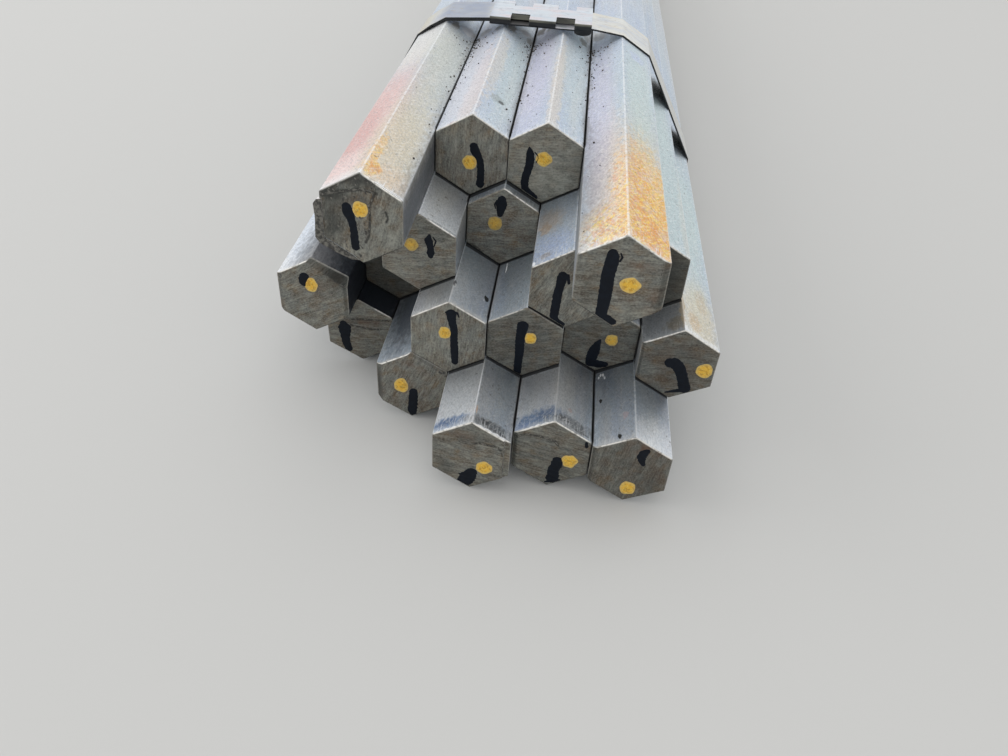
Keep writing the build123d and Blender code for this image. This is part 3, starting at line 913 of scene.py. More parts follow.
def stroke(end, line, seed):
    """A width carried along a smoothed line. Each ring is a flat oval across the stroke: its width
    follows the cosine round the ring and its height the sine. At the rounded ends the middle line
    runs on by the half width there, and the width goes to nothing."""
    tip, tail = line[0][2], line[-1][2]
    smooth = smoothed(line)
    way = np.gradient(smooth[:, :2], axis=0)
    way /= np.linalg.norm(way, axis=1)[:, None]
    opening = np.linspace(CAP_START, pi / 2, CAP_RINGS)
    lead = smooth[0, :2] - way[0] * tip * np.cos(opening)[:, None]
    trail = smooth[-1, :2] + way[-1] * tail * np.cos(opening[::-1])[:, None]
    middle = np.concatenate([lead, smooth[1:-1, :2], trail])
    half = np.concatenate([tip * np.sin(opening), smooth[1:-1, 2], tail * np.sin(opening[::-1])])
    heading = np.pad(way[1:-1], ((CAP_RINGS, CAP_RINGS), (0, 0)), mode="edge")
    heading[:CAP_RINGS], heading[-CAP_RINGS:] = way[0], way[-1]
    beside = np.stack([-heading[:, 1], heading[:, 0]], axis=1)
    along = np.concatenate([[0], np.cumsum(np.hypot(*np.diff(middle, axis=0).T))])
    turn = np.linspace(0, 2 * pi, STROKE_SIDES, endpoint=False)
    left, right = (wander(along, seed + side, *STROKE_EDGE)[:, None] for side in (0, 1))
    width = half[:, None] * (1 + WOBBLE * np.where(np.cos(turn) > 0, left, right)) * np.cos(turn)
    across = middle[:, :1] + beside[:, :1] * width
    up = middle[:, 1:] + beside[:, 1:] * width
    rise = np.where(np.sin(turn) > 0, PAINT_THICKNESS, PAINT_ROOT) * np.sin(turn)
    rings = on_end(end, across, up, np.broadcast_to(rise, across.shape))
    rim = np.broadcast_to(np.abs(np.cos(turn)), across.shape)
    return rings[0].mean(axis=0), rings, rings[-1].mean(axis=0), BLACK, {"rim": rim, "rubbed": 0 * rim}


print("a stroke has", (STROKE_STEPS - 2 + 2 * CAP_RINGS) * STROKE_SIDES + 2, "points")

# %% [markdown]
# A dot of paint is highest in the middle and thinner towards its rim. Its rim wanders too, by a line
# that is read off along the circle's own width and height, so that it closes where it started.

# %% Dots of paint
DOT_RINGS, DOT_SIDES, DOT_START = 8, 40, 0.12
DOT_EDGE, DOT_REACH = (2, 6), 3


def dot(end, across, up, half_width, half_height, seed):
    """A disc of paint: rings that grow to a rim that wanders, and sink under the surface at last."""
    turn = np.linspace(0, 2 * pi, DOT_SIDES, endpoint=False)
    wobble = 1 + WOBBLE * wander(np.cos(turn) * DOT_REACH, seed, *DOT_EDGE)
    wobble = wobble + WOBBLE * wander(np.sin(turn) * DOT_REACH, seed + 1, *DOT_EDGE)
    share = np.concatenate([np.linspace(DOT_START, 1, DOT_RINGS), [1]])[:, None]
    x = across + half_width * share * wobble * np.cos(turn)
    z = up + half_height * share * wobble * np.sin(turn)
    rise = PAINT_THICKNESS * (1 - 0.6 * share ** 6) * np.ones_like(x)
    rise[-1] = -PAINT_ROOT
    rings = on_end(end, x, z, rise)
    middle = np.array([across]), np.array([up])
    first, last = (on_end(end, *middle, np.array([thick]))[0] for thick in (PAINT_THICKNESS, -PAINT_ROOT))
    rubbed = np.full(x.shape, RUBBED.get(end.name, 0.0))
    return first, rings, last, YELLOW, {"rim": np.broadcast_to(share, x.shape), "rubbed": rubbed}


print("a dot has", (DOT_RINGS + 1) * DOT_SIDES + 2, "points")

# %% [markdown]
# Paint-pen yellow is an opaque enamel that has dried thin at the rim, where the grey steel shows
# through. It is mottled, and has picked up olive specks of dirt. The marker is a blue-black ink with
# a slight sheen. Both are plain plastics to a shader: not metallic, with the usual IOR, and with a
# weaker reflection for the ink.

# %% Paint and ink
paint, tree, shader = new_finish("paint_pen_yellow")
where = in_millimetres(tree)
rim, rubbed = (add(tree, "Attribute", {}, attribute_name=number)["Fac"] for number in ("rim", "rubbed"))
colour = layered(tree, "#e0b138", [
    (patches(tree, where, 1.1, 0.46, 0.6), 0.8, "#b5872a"),
    (patches(tree, where, 0.7, 0.52, 0.62), 0.6, "#f6dc72"),
    (patches(tree, where, 0.7, 0.58, 0.7), 0.6, "#7d6c2c"),
    (between(tree, rim, 0.55, 1.0), 0.55, "#cfb878"),
    (product(tree, rubbed, between(tree, rim, -0.6, 1.0)), 1, "#7f6f45"),
])
plug(tree, shader, {"Base Color": colour, "Roughness": 0.5})

ink, tree, shader = new_finish("blue_black_marker_ink")
where = in_millimetres(tree)
rim = add(tree, "Attribute", {}, attribute_name="rim")["Fac"]
colour = layered(tree, "#040b16", [
    (patches(tree, where, 1.6, 0.4, 0.7), 0.5, "#0c1622"),
    (between(tree, rim, 0.8, 1.0), 0.4, "#1c232b"),
])
plug(tree, shader, {"Base Color": colour, "Roughness": 0.6, "Specular IOR Level": 0.2})

for name in sorted(set(DOTS) | set(STROKES)):
    end, seed = front_ends[name], 10 * bar_names.index(name) + 500
    marks = [dot(end, *DOTS[name], seed)] if name in DOTS else []
    marks += [stroke(end, line, seed + 2 * number) for number, line in enumerate(STROKES.get(name, ()))]
    shell_piece(f"marks_{name[4:]}", marks, [paint, ink])
print("marks on", len(set(DOTS) | set(STROKES)), "ends")

# %% [markdown]
# The sides of the bars were drawn through a die, which leaves bright, nearly mirror-like steel with
# fine lines along its length. Handling and weather have added the rest: bluish and cream tints,
# brighter metal on the corners, dust in the hollows, orange rust, and blue heat tint beside some saw
# cuts. The corners also get a painted highlight. The real sides reflect what is around them, so the
# finish is metallic. Only a thin film of dust takes a little of that away, and rust, dirt, shade and
# the small spots take more. Many spots are painted light: near-white highlights and sky reflections,
# pale glare in front of the strap, painted shade where neighbours keep the light off, and painted
# shadow under the strap. One function makes the finish for a bar. It works in millimetres from the
# bar's own axis and saw cut, so that a spot can be put where the photograph has it: on which side,
# how far across it and how far behind the cut.

# %% Spots on the sides
UPPER_RIGHT, UPPER_LEFT, RIGHT, LEFT = 60, 120, 0, 180
# The near-white spots are mostly painted highlights and sky reflections, with a few real scuffs.
RUST, GOLD, PINK, HIGHLIGHT_AND_SCUFF = "#eca552", "#ffd06c", "#f2cfc9", "#fafbfc"
# The soil dark is dirt, and where it lies under the strap it is painted shadow.
BLUE, DEEP_BLUE, SOIL_AND_SHADOW, GREY, CREAM = "#7f9bc2", "#526c98", "#252423", "#85898c", "#e6dcc0"
# The sky blue is a painted reflection of the sky, and the shade colour is painted shade.
LILAC, SKY_REFLECTION, MINT, SHADE = "#dcdaf0", "#cfdcf4", "#d3e6e4", "#151b25"
# Loam is dirt, and the chalk white is painted glare in front of the strap.
LOAM, PAINTED_GLARE = "#84775f", "#f1f1f1"
# Each: colour, side, middle across and behind the cut, half size across and behind, and strength.
# Across counts towards the top of a side on the right, and away from the top on the left.
SPOTS = {
    "bar_row1_1": [
        (PINK, UPPER_LEFT, 3, 40, 16, 72, 0.95), ("#e0a49c", UPPER_LEFT, 4, 40, 6, 30, 0.4),
        ("#f3f0ea", UPPER_LEFT, 0, 135, 12, 34, 0.8), (HIGHLIGHT_AND_SCUFF, UPPER_LEFT, 1, 2.0, 10, 6, 1.0),
        ("#ffeae6", UPPER_LEFT, 2, 11, 9, 13, 0.7), (CREAM, UPPER_RIGHT, 1, 28, 9, 46, 0.8),
        ("#d9ddd2", UPPER_RIGHT, 0, 110, 9, 60, 0.7), (GOLD, UPPER_RIGHT, 5.9, 19, 2.0, 12, 0.45),
        ("#efd8bd", UPPER_RIGHT, -1, 6, 7, 9, 0.6), (GOLD, UPPER_RIGHT, 5.0, 7, 3.0, 6, 0.6),
        (RUST, UPPER_RIGHT, 4.4, 7.0, 2.0, 3.2, 0.55), (HIGHLIGHT_AND_SCUFF, UPPER_RIGHT, -2, 0.2, 9, 1.4, 0.8),
        (PAINTED_GLARE, UPPER_RIGHT, -3.6, 160, 3.6, 6, 0.8), (LOAM, UPPER_RIGHT, 3.2, 158, 2.4, 5, 0.6),
        (SHADE, RIGHT, -1, 14, 8.5, 70, 0.72),
    ],
    "bar_row1_2": [
        ("#d39a92", UPPER_LEFT, 0.8, 0.8, 2.2, 1.6, 0.8), ("#ead9d2", UPPER_LEFT, -4, 25, 4, 60, 0.7),
        ("#f0eef6", UPPER_LEFT, 2, 50, 8, 60, 0.6), (GREY, UPPER_RIGHT, 0.5, 25.5, 3.0, 3.4, 0.7),
        (SOIL_AND_SHADOW, UPPER_RIGHT, -1.0, 24.0, 1.2, 1.4, 0.7), (MINT, UPPER_RIGHT, -2, 60, 6, 60, 0.5),
        ("#ece3d3", UPPER_RIGHT, 5, 60, 3, 40, 0.5), (PAINTED_GLARE, UPPER_RIGHT, -2.6, 113, 3.0, 4, 0.8),
        (LOAM, UPPER_RIGHT, 3.6, 108, 2.2, 5, 0.6), (LOAM, UPPER_RIGHT, -5.4, 106, 1.7, 4, 0.5),
        (PAINTED_GLARE, UPPER_LEFT, 3.0, 110, 3.0, 5, 0.8), (LOAM, UPPER_LEFT, -3.6, 106, 1.7, 4, 0.4),
    ],
    "bar_row1_3": [
        (LILAC, UPPER_LEFT, 2, 60, 7, 80, 0.7), (LOAM, UPPER_LEFT, 4.6, 122, 2.4, 6, 0.6),
        (PAINTED_GLARE, UPPER_LEFT, -1.0, 120, 2.6, 5, 0.6), (LOAM, UPPER_RIGHT, -3.4, 110, 2.0, 5, 0.5),
        ("#f0e3d2", UPPER_RIGHT, 6, 30, 2.5, 70, 0.6), ("#ccd4ea", UPPER_LEFT, 2, 6, 7, 16, 0.5),
        (MINT, UPPER_RIGHT, -1, 70, 6, 70, 0.4), (PAINTED_GLARE, UPPER_RIGHT, -5.4, 118, 2.4, 5, 0.7),
    ],
    "bar_row1_4": [
        (CREAM, UPPER_RIGHT, 0, 30, 10, 75, 0.7), (MINT, UPPER_RIGHT, 0, 120, 8, 60, 0.7),
        (GOLD, UPPER_RIGHT, 1, 14, 10, 50, 0.95), (RUST, UPPER_RIGHT, 4.5, 14, 5, 46, 0.6),
        (RUST, UPPER_RIGHT, -3.5, 3, 4, 16, 0.7), (GOLD, UPPER_RIGHT, -5.5, 24, 3, 34, 0.7),
        (GOLD, UPPER_LEFT, -5, 22, 3.2, 34, 0.8), (GOLD, UPPER_LEFT, -1.5, 8, 7, 14, 1.0),
        (RUST, UPPER_LEFT, -3.0, 10, 3, 9, 0.5), ("#f0dcae", UPPER_LEFT, 1, 6, 8, 16, 0.8),
        ("#e8d8cc", UPPER_LEFT, -1, 46, 7, 44, 0.7), (RUST, RIGHT, 4, 14, 5, 34, 0.6),
        (LILAC, UPPER_LEFT, 3, 110, 6, 70, 0.6), (HIGHLIGHT_AND_SCUFF, UPPER_LEFT, 5, 3, 4, 12, 0.8),
        # A painted sky reflection, and painted glare by the strap.
        (SKY_REFLECTION, UPPER_RIGHT, 0, 160, 4, 6, 0.8), (PAINTED_GLARE, UPPER_LEFT, 3.6, 194, 4, 9, 0.8),
        (SHADE, LEFT, 0, 40, 12, 60, 0.45),
    ],
    "bar_row2_2": [(GREY, UPPER_RIGHT, -2, 0.8, 6, 0.8, 0.6), (HIGHLIGHT_AND_SCUFF, UPPER_RIGHT, 0, 12, 14, 26, 0.6)],
    "bar_row2_4": [
        ("#c4d5f2", UPPER_LEFT, 1, 6, 8, 12, 1.0), ("#dcc6ae", UPPER_LEFT, 3, 27, 5, 8, 0.6),
        (HIGHLIGHT_AND_SCUFF, UPPER_LEFT, 6.6, 1.0, 0.7, 1.2, 0.8), ("#b09a80", UPPER_LEFT, 3, 4, 2.4, 1.8, 0.5),
        ("#cfae86", UPPER_LEFT, 4, 22, 2.2, 4, 0.5),
    ],
    "bar_row2_5": [
        ("#e6e0d6", UPPER_RIGHT, -7, 20, 2.4, 40, 0.6), (MINT, UPPER_RIGHT, 0, 60, 9, 90, 0.7),
        # Painted shadow in the gap under the strap.
        (SOIL_AND_SHADOW, UPPER_RIGHT, -2, 149, 9, 14, 1.0),
    ],
    "bar_row3_1": [
        # Painted highlight and sky reflection on the upper left side, and painted shade on the right sides.
        (HIGHLIGHT_AND_SCUFF, UPPER_LEFT, 0, 8, 16, 34, 1.0), ("#e8f2ff", UPPER_LEFT, 0, 24, 9, 24, 0.8),
        (SHADE, UPPER_RIGHT, 0, 14, 14, 40, 0.7), (SHADE, RIGHT, 0, 20, 14, 50, 0.97),
    ],
    "bar_row3_3": [
        (HIGHLIGHT_AND_SCUFF, UPPER_LEFT, 0, 8, 14, 22, 0.6), (HIGHLIGHT_AND_SCUFF, UPPER_LEFT, 0, 0, 9, 2.6, 0.8),
        (HIGHLIGHT_AND_SCUFF, UPPER_RIGHT, 0, 0, 9, 2.4, 0.8), (SHADE, UPPER_RIGHT, 0, 20, 9, 30, 0.15),
        (SOIL_AND_SHADOW, UPPER_RIGHT, -5.4, 13.5, 0.9, 1.9, 1.0), (HIGHLIGHT_AND_SCUFF, UPPER_RIGHT, -4.6, 12.2, 0.4, 0.8, 0.9),
        (SOIL_AND_SHADOW, UPPER_RIGHT, 7.0, 12.4, 0.6, 1.8, 0.8), (HIGHLIGHT_AND_SCUFF, UPPER_RIGHT, 6.6, 11.0, 0.3, 1.0, 0.6),
    ],
    "bar_row3_4": [(HIGHLIGHT_AND_SCUFF, UPPER_LEFT, 4.0, 31.5, 0.35, 3.2, 0.9)],
    "bar_row3_5": [(HIGHLIGHT_AND_SCUFF, UPPER_LEFT, 2, 0, 8, 1.4, 0.4)],
    "bar_row3_6": [
        (HIGHLIGHT_AND_SCUFF, UPPER_LEFT, 1, 10, 14, 26, 0.6), ("#b39a6a", UPPER_LEFT, -4, 5, 3.4, 4, 0.6),
        ("#b39a6a", UPPER_LEFT, -7, 16, 1, 14, 0.5), (CREAM, UPPER_RIGHT, 0, 12, 8, 24, 0.8),
        ("#d9b98a", UPPER_RIGHT, 2.7, 8, 2.6, 5, 0.5), ("#d8c09a", UPPER_RIGHT, -1.4, 24, 2.4, 8, 0.5),
        (HIGHLIGHT_AND_SCUFF, UPPER_RIGHT, 0, 0, 9, 2, 0.6), (MINT, UPPER_RIGHT, 0, 90, 9, 60, 0.7),
        # The dark spot 165 mm behind the cut is painted shadow in the gap under the strap.
        (SOIL_AND_SHADOW, UPPER_RIGHT, -3, 165, 8, 13, 1.0), (HIGHLIGHT_AND_SCUFF, UPPER_LEFT, 5, 0.3, 2, 0.5, 1.0),
    ],
    "bar_row4_1": [(SHADE, UPPER_RIGHT, 0, 16, 16, 50, 0.97), (SHADE, UPPER_LEFT, 0, 16, 16, 50, 0.9)],
    "bar_row4_2": [
        ("#cddcec", UPPER_LEFT, 2, 2, 8, 7, 0.8), (HIGHLIGHT_AND_SCUFF, UPPER_LEFT, 3, 0, 7, 1.6, 0.9),
        (SHADE, UPPER_LEFT, -1, 34, 9, 36, 0.8),
    ],
    "bar_row4_3": [
        (HIGHLIGHT_AND_SCUFF, UPPER_LEFT, 0, 16, 14, 26, 0.6), (BLUE, UPPER_LEFT, 2, 3.6, 9, 3.2, 0.95),
        (DEEP_BLUE, UPPER_LEFT, 3, 4.2, 4, 1.9, 0.55), ("#6f7377", UPPER_RIGHT, 1, 2.4, 9, 2.8, 0.9),
        (SOIL_AND_SHADOW, UPPER_RIGHT, 3.6, 3.4, 2.2, 1.2, 0.7), (SOIL_AND_SHADOW, UPPER_RIGHT, -2.0, 1.8, 4, 0.9, 0.6),
        (RUST, UPPER_RIGHT, 6.6, 7, 0.4, 2, 0.3), (HIGHLIGHT_AND_SCUFF, UPPER_RIGHT, 0, 0.2, 9, 1.0, 0.85),
        (HIGHLIGHT_AND_SCUFF, UPPER_LEFT, 0, 0, 9, 1.2, 0.9), (HIGHLIGHT_AND_SCUFF, UPPER_LEFT, -6.4, 4, 1.8, 8, 0.4),
    ],
    "bar_row4_4": [
        (HIGHLIGHT_AND_SCUFF, UPPER_LEFT, 0, 16, 14, 26, 0.6), (BLUE, UPPER_LEFT, -1, 4.0, 10, 4.2, 0.95),
        (DEEP_BLUE, UPPER_LEFT, -4, 5.2, 4, 2.4, 0.4), (DEEP_BLUE, UPPER_LEFT, 5, 2.2, 3, 1.4, 0.5),
        (GREY, UPPER_RIGHT, 1, 2.6, 9, 3.4, 0.9), (SOIL_AND_SHADOW, UPPER_RIGHT, 4, 3.6, 3, 1.8, 0.7),
        (SOIL_AND_SHADOW, UPPER_RIGHT, -3, 1.6, 4, 0.6, 0.6), ("#a87d72", UPPER_RIGHT, 1.9, 9.3, 0.9, 0.9, 0.4),
        (HIGHLIGHT_AND_SCUFF, UPPER_LEFT, 0, 0, 9, 0.9, 0.9),
    ],
    "bar_row4_5": [
        (SOIL_AND_SHADOW, UPPER_LEFT, -1.9, 2.7, 1.0, 1.4, 1.0), (SOIL_AND_SHADOW, UPPER_LEFT, 4.8, 22.4, 0.7, 1.1, 1.0),
        (HIGHLIGHT_AND_SCUFF, UPPER_LEFT, 5.8, 35.2, 0.35, 0.8, 0.9), (HIGHLIGHT_AND_SCUFF, UPPER_LEFT, 5.1, 36.3, 0.35, 0.8, 0.9),
        (HIGHLIGHT_AND_SCUFF, UPPER_LEFT, 4.2, 36.0, 0.3, 0.9, 0.9), (HIGHLIGHT_AND_SCUFF, UPPER_LEFT, 3.6, 34.4, 0.3, 1.0, 0.8),
        ("#a87d72", UPPER_LEFT, -4, 11.8, 1.2, 1.8, 0.4), (HIGHLIGHT_AND_SCUFF, UPPER_RIGHT, -1, 4, 9, 10, 0.5),
        (HIGHLIGHT_AND_SCUFF, UPPER_LEFT, 1, 0, 9, 2.6, 0.5),
    ],
}
print(sum(len(spots) for spots in SPOTS.values()), "spots")

# %% [markdown]
# A spot is an ellipsoid round its place on the side, with an edge that noise makes ragged. The noise
# that does it is the same one for all the spots of a bar. How ragged and how soft the edge is
# depends on the size: a speck of dirt has an edge, and a tint as large as a hand fades away.

# %% The masks of spots
# Half sizes, in millimetres, between which the edge goes from ragged and hard to soft.
SPECK, PATCH, TINT = 1, 5, 8
SMALL_SPOT = 1.6
# The kinds of spots that have their own place among the coats: painted shade, and dust with painted
# glare. The other colours are tints, and a small spot of any colour is a kind of its own.
KINDS = {SHADE: "shade", LOAM: "dust_and_glare", PAINTED_GLARE: "dust_and_glare"}


def on_side(side, across, behind):
    """A point on a side of a bar, in millimetres from where its axis meets the saw cut."""
    turn = radians(side)
    x = HALF_FLAT * cos(turn) - across * sin(turn)
    z = HALF_FLAT * sin(turn) + across * cos(turn)
    return np.array([x, behind, z])


def spot(tree, place, ragged, side, across, behind, half_across, half_behind, strength):
    """A spot's mask. Its distance is measured from its middle in half sizes, and the noise pushes
    the edge in and out. A large one fades from its middle outwards, and a small one has an edge."""
    middle = on_side(side, across, behind)
    half = np.array([half_across, half_behind, half_across])
    stretched = {"Vector": place, "Location": -middle / half, "Scale": 1 / half}
    scaled = add(tree, "Mapping", stretched)["Vector"]
    distance = add(tree, "VectorMath", {0: scaled}, operation="LENGTH")["Value"]
    smaller = min(half_across, half_behind)
    raggedness = np.interp(smaller, (SPECK, TINT), (1.0, 0.4))
    fade = np.interp(smaller, (SPECK, PATCH), (0.15, 0.5))
    push = {0: ragged, 1: raggedness, 2: distance}
    pushed = add(tree, "Math", push, operation="MULTIPLY_ADD")["Value"]
    return product(tree, between(tree, pushed, 0.95 + fade, 0.95 - fade), strength)


def spots_of(tree, name, place, ragged):
    """The coats of a bar's spots, in lists of their kinds, and the masks of the dull and rusty ones."""
    kept, dull, rusty = {"tint": [], "dust_and_glare": [], "small": [], "shade": []}, [0.0], [0.0]
    for colour, *where in SPOTS.get(name, ()):
        mask = spot(tree, place, ragged, *where)
        small = min(where[3:5]) < SMALL_SPOT
        kept["small" if small else KINDS.get(colour, "tint")].append((mask, 1, colour))
        if small or colour in (RUST, GOLD, SOIL_AND_SHADOW, *KINDS):
            dull.append(product(tree, mask, 0.6))
        if colour in (RUST, GOLD):
            rusty.append(mask)
    return kept, largest(tree, *dull), largest(tree, *rusty)


print("the middle of a top right side is at", on_side(UPPER_RIGHT, 0, 0).round(2), "mm")

# %% [markdown]
# Bars that lie close keep the light from each other, and the finish paints that shade into the
# colour. Where two of them touch, and along the bottom of the valley between two bars of a row, it
# is painted black as a contact shadow. The side that faces a neighbour is painted in shade for a while
# in front of the neighbour's cut, and the valley between two bars of a row is browner and darker
# towards its line. The finish of each bar works that out from where its neighbours beside and above
# it are, and from how far their ends stick out.

# %% The shade of the neighbours
# The bottom of the valley between two bars of a row, up from their axes.
VALLEY_UP = 7.33
# How far neighbours' axes can be from each other, and how far in front of a neighbour its shade goes.
NEIGHBOUR_REACH = 27.0
SHADE_LENGTH = 34.0
# How far below a bar's axis a neighbour's can lie, and how steep the way to one in its row can be.
LOWEST_NEIGHBOUR, SAME_ROW = -1.0, 0.1


def shelter(tree, name, level, along, normal):
    """Masks of the painted shade that a bar's neighbours beside and above it put on its sides: the black
    contact shadow where they touch, the shade in front of that, and the darkening towards the valley
    between two bars of a row. Each depends on how far inside the neighbour's length a point is, counted in
    millimetres."""
    end = front_ends[name]
    line, shade, valley_darkening = [0.0], [0.0], [0.0]
    for other in bar_names:
        apart = (front_ends[other].axis - end.axis) * PER_MM
        distance = np.hypot(*apart)
        if other == name or distance > NEIGHBOUR_REACH or apart[1] < LOWEST_NEIGHBOUR:
            continue
        towards = apart / distance
        touch = towards * HALF_FLAT
        begins, stops = (
            (ends[other].depth(*-touch) - end.depth(*touch)) * PER_MM for ends in (front_ends, back_ends)
        )
        past_front = add(tree, "Math", {0: along, 1: begins}, operation="SUBTRACT")["Value"]
        past_back = add(tree, "Math", {0: stops, 1: along}, operation="SUBTRACT")["Value"]
        inside = add(tree, "Math", {0: past_front, 1: past_back}, operation="MINIMUM")["Value"]
        ways = {0: normal, 1: (towards[0], 0, towards[1])}
        facing = add(tree, "VectorMath", ways, operation="DOT_PRODUCT")["Value"]
        touching = between(tree, facing, 0.96, 0.99)
        line.append(product(tree, touching, between(tree, inside, -1.5, -0.7)))
        shade.append(product(tree, touching, between(tree, inside, -SHADE_LENGTH, -1)))
        if abs(towards[1]) < SAME_ROW:
            valley = (towards[0] * HALF_FLAT, 0, VALLEY_UP)
            off = add(tree, "VectorMath", {0: level, 1: valley}, operation="DISTANCE")["Value"]
            beside = between(tree, inside, 0, 3)
            line.append(product(tree, beside, between(tree, off, 0.55, 0.2)))
            valley_darkening.append(product(tree, beside, between(tree, off, 3.4, 0.4)))
    return [largest(tree, *masks) for masks in (line, shade, valley_darkening)]


apart = (front_ends["bar_row2_3"].axis - front_ends["bar_row1_2"].axis) * PER_MM
print("the axes of two neighbours are", np.hypot(*apart).round(2), "mm apart")

# %% [markdown]
# The finish of a bar is a colour with coats over it, from the steel itself to what lies on top: its
# clouds and tints, some of them painted highlights and sky reflections, rust, the lines of the die,
# grain and scratches, brighter corners with a painted highlight, dust and painted glare, painted
# shade, small spots, specks and the black painted contact shadow. Each bar shifts its noise to a
# place of its own, so that no two of them look the same. The bluish and warm tints are kept to the
# front part and the upper sides, and the rest of the steel is plainer.

# %% Drawn steel
# The lower rows wear a slightly darker copy of the top row's steel, as painted shade.
TOP_STEEL, SHADED_LOWER_STEEL, PLAIN_STEEL = "#d3e0ee", "#cbdae6", "#d6d9da"
END_DARK, END_LIGHT = "#33322f", "#6c6a63"
DUST_FILM = 0.05
BAR_SHIFT = np.array([37.0, 211.0, 53.0])
# Between which distances behind the cut the steel becomes plain, and a corner starts from the axis.
PLAIN_FROM, CORNER_FROM = (230, 420), (14.42, 14.53)


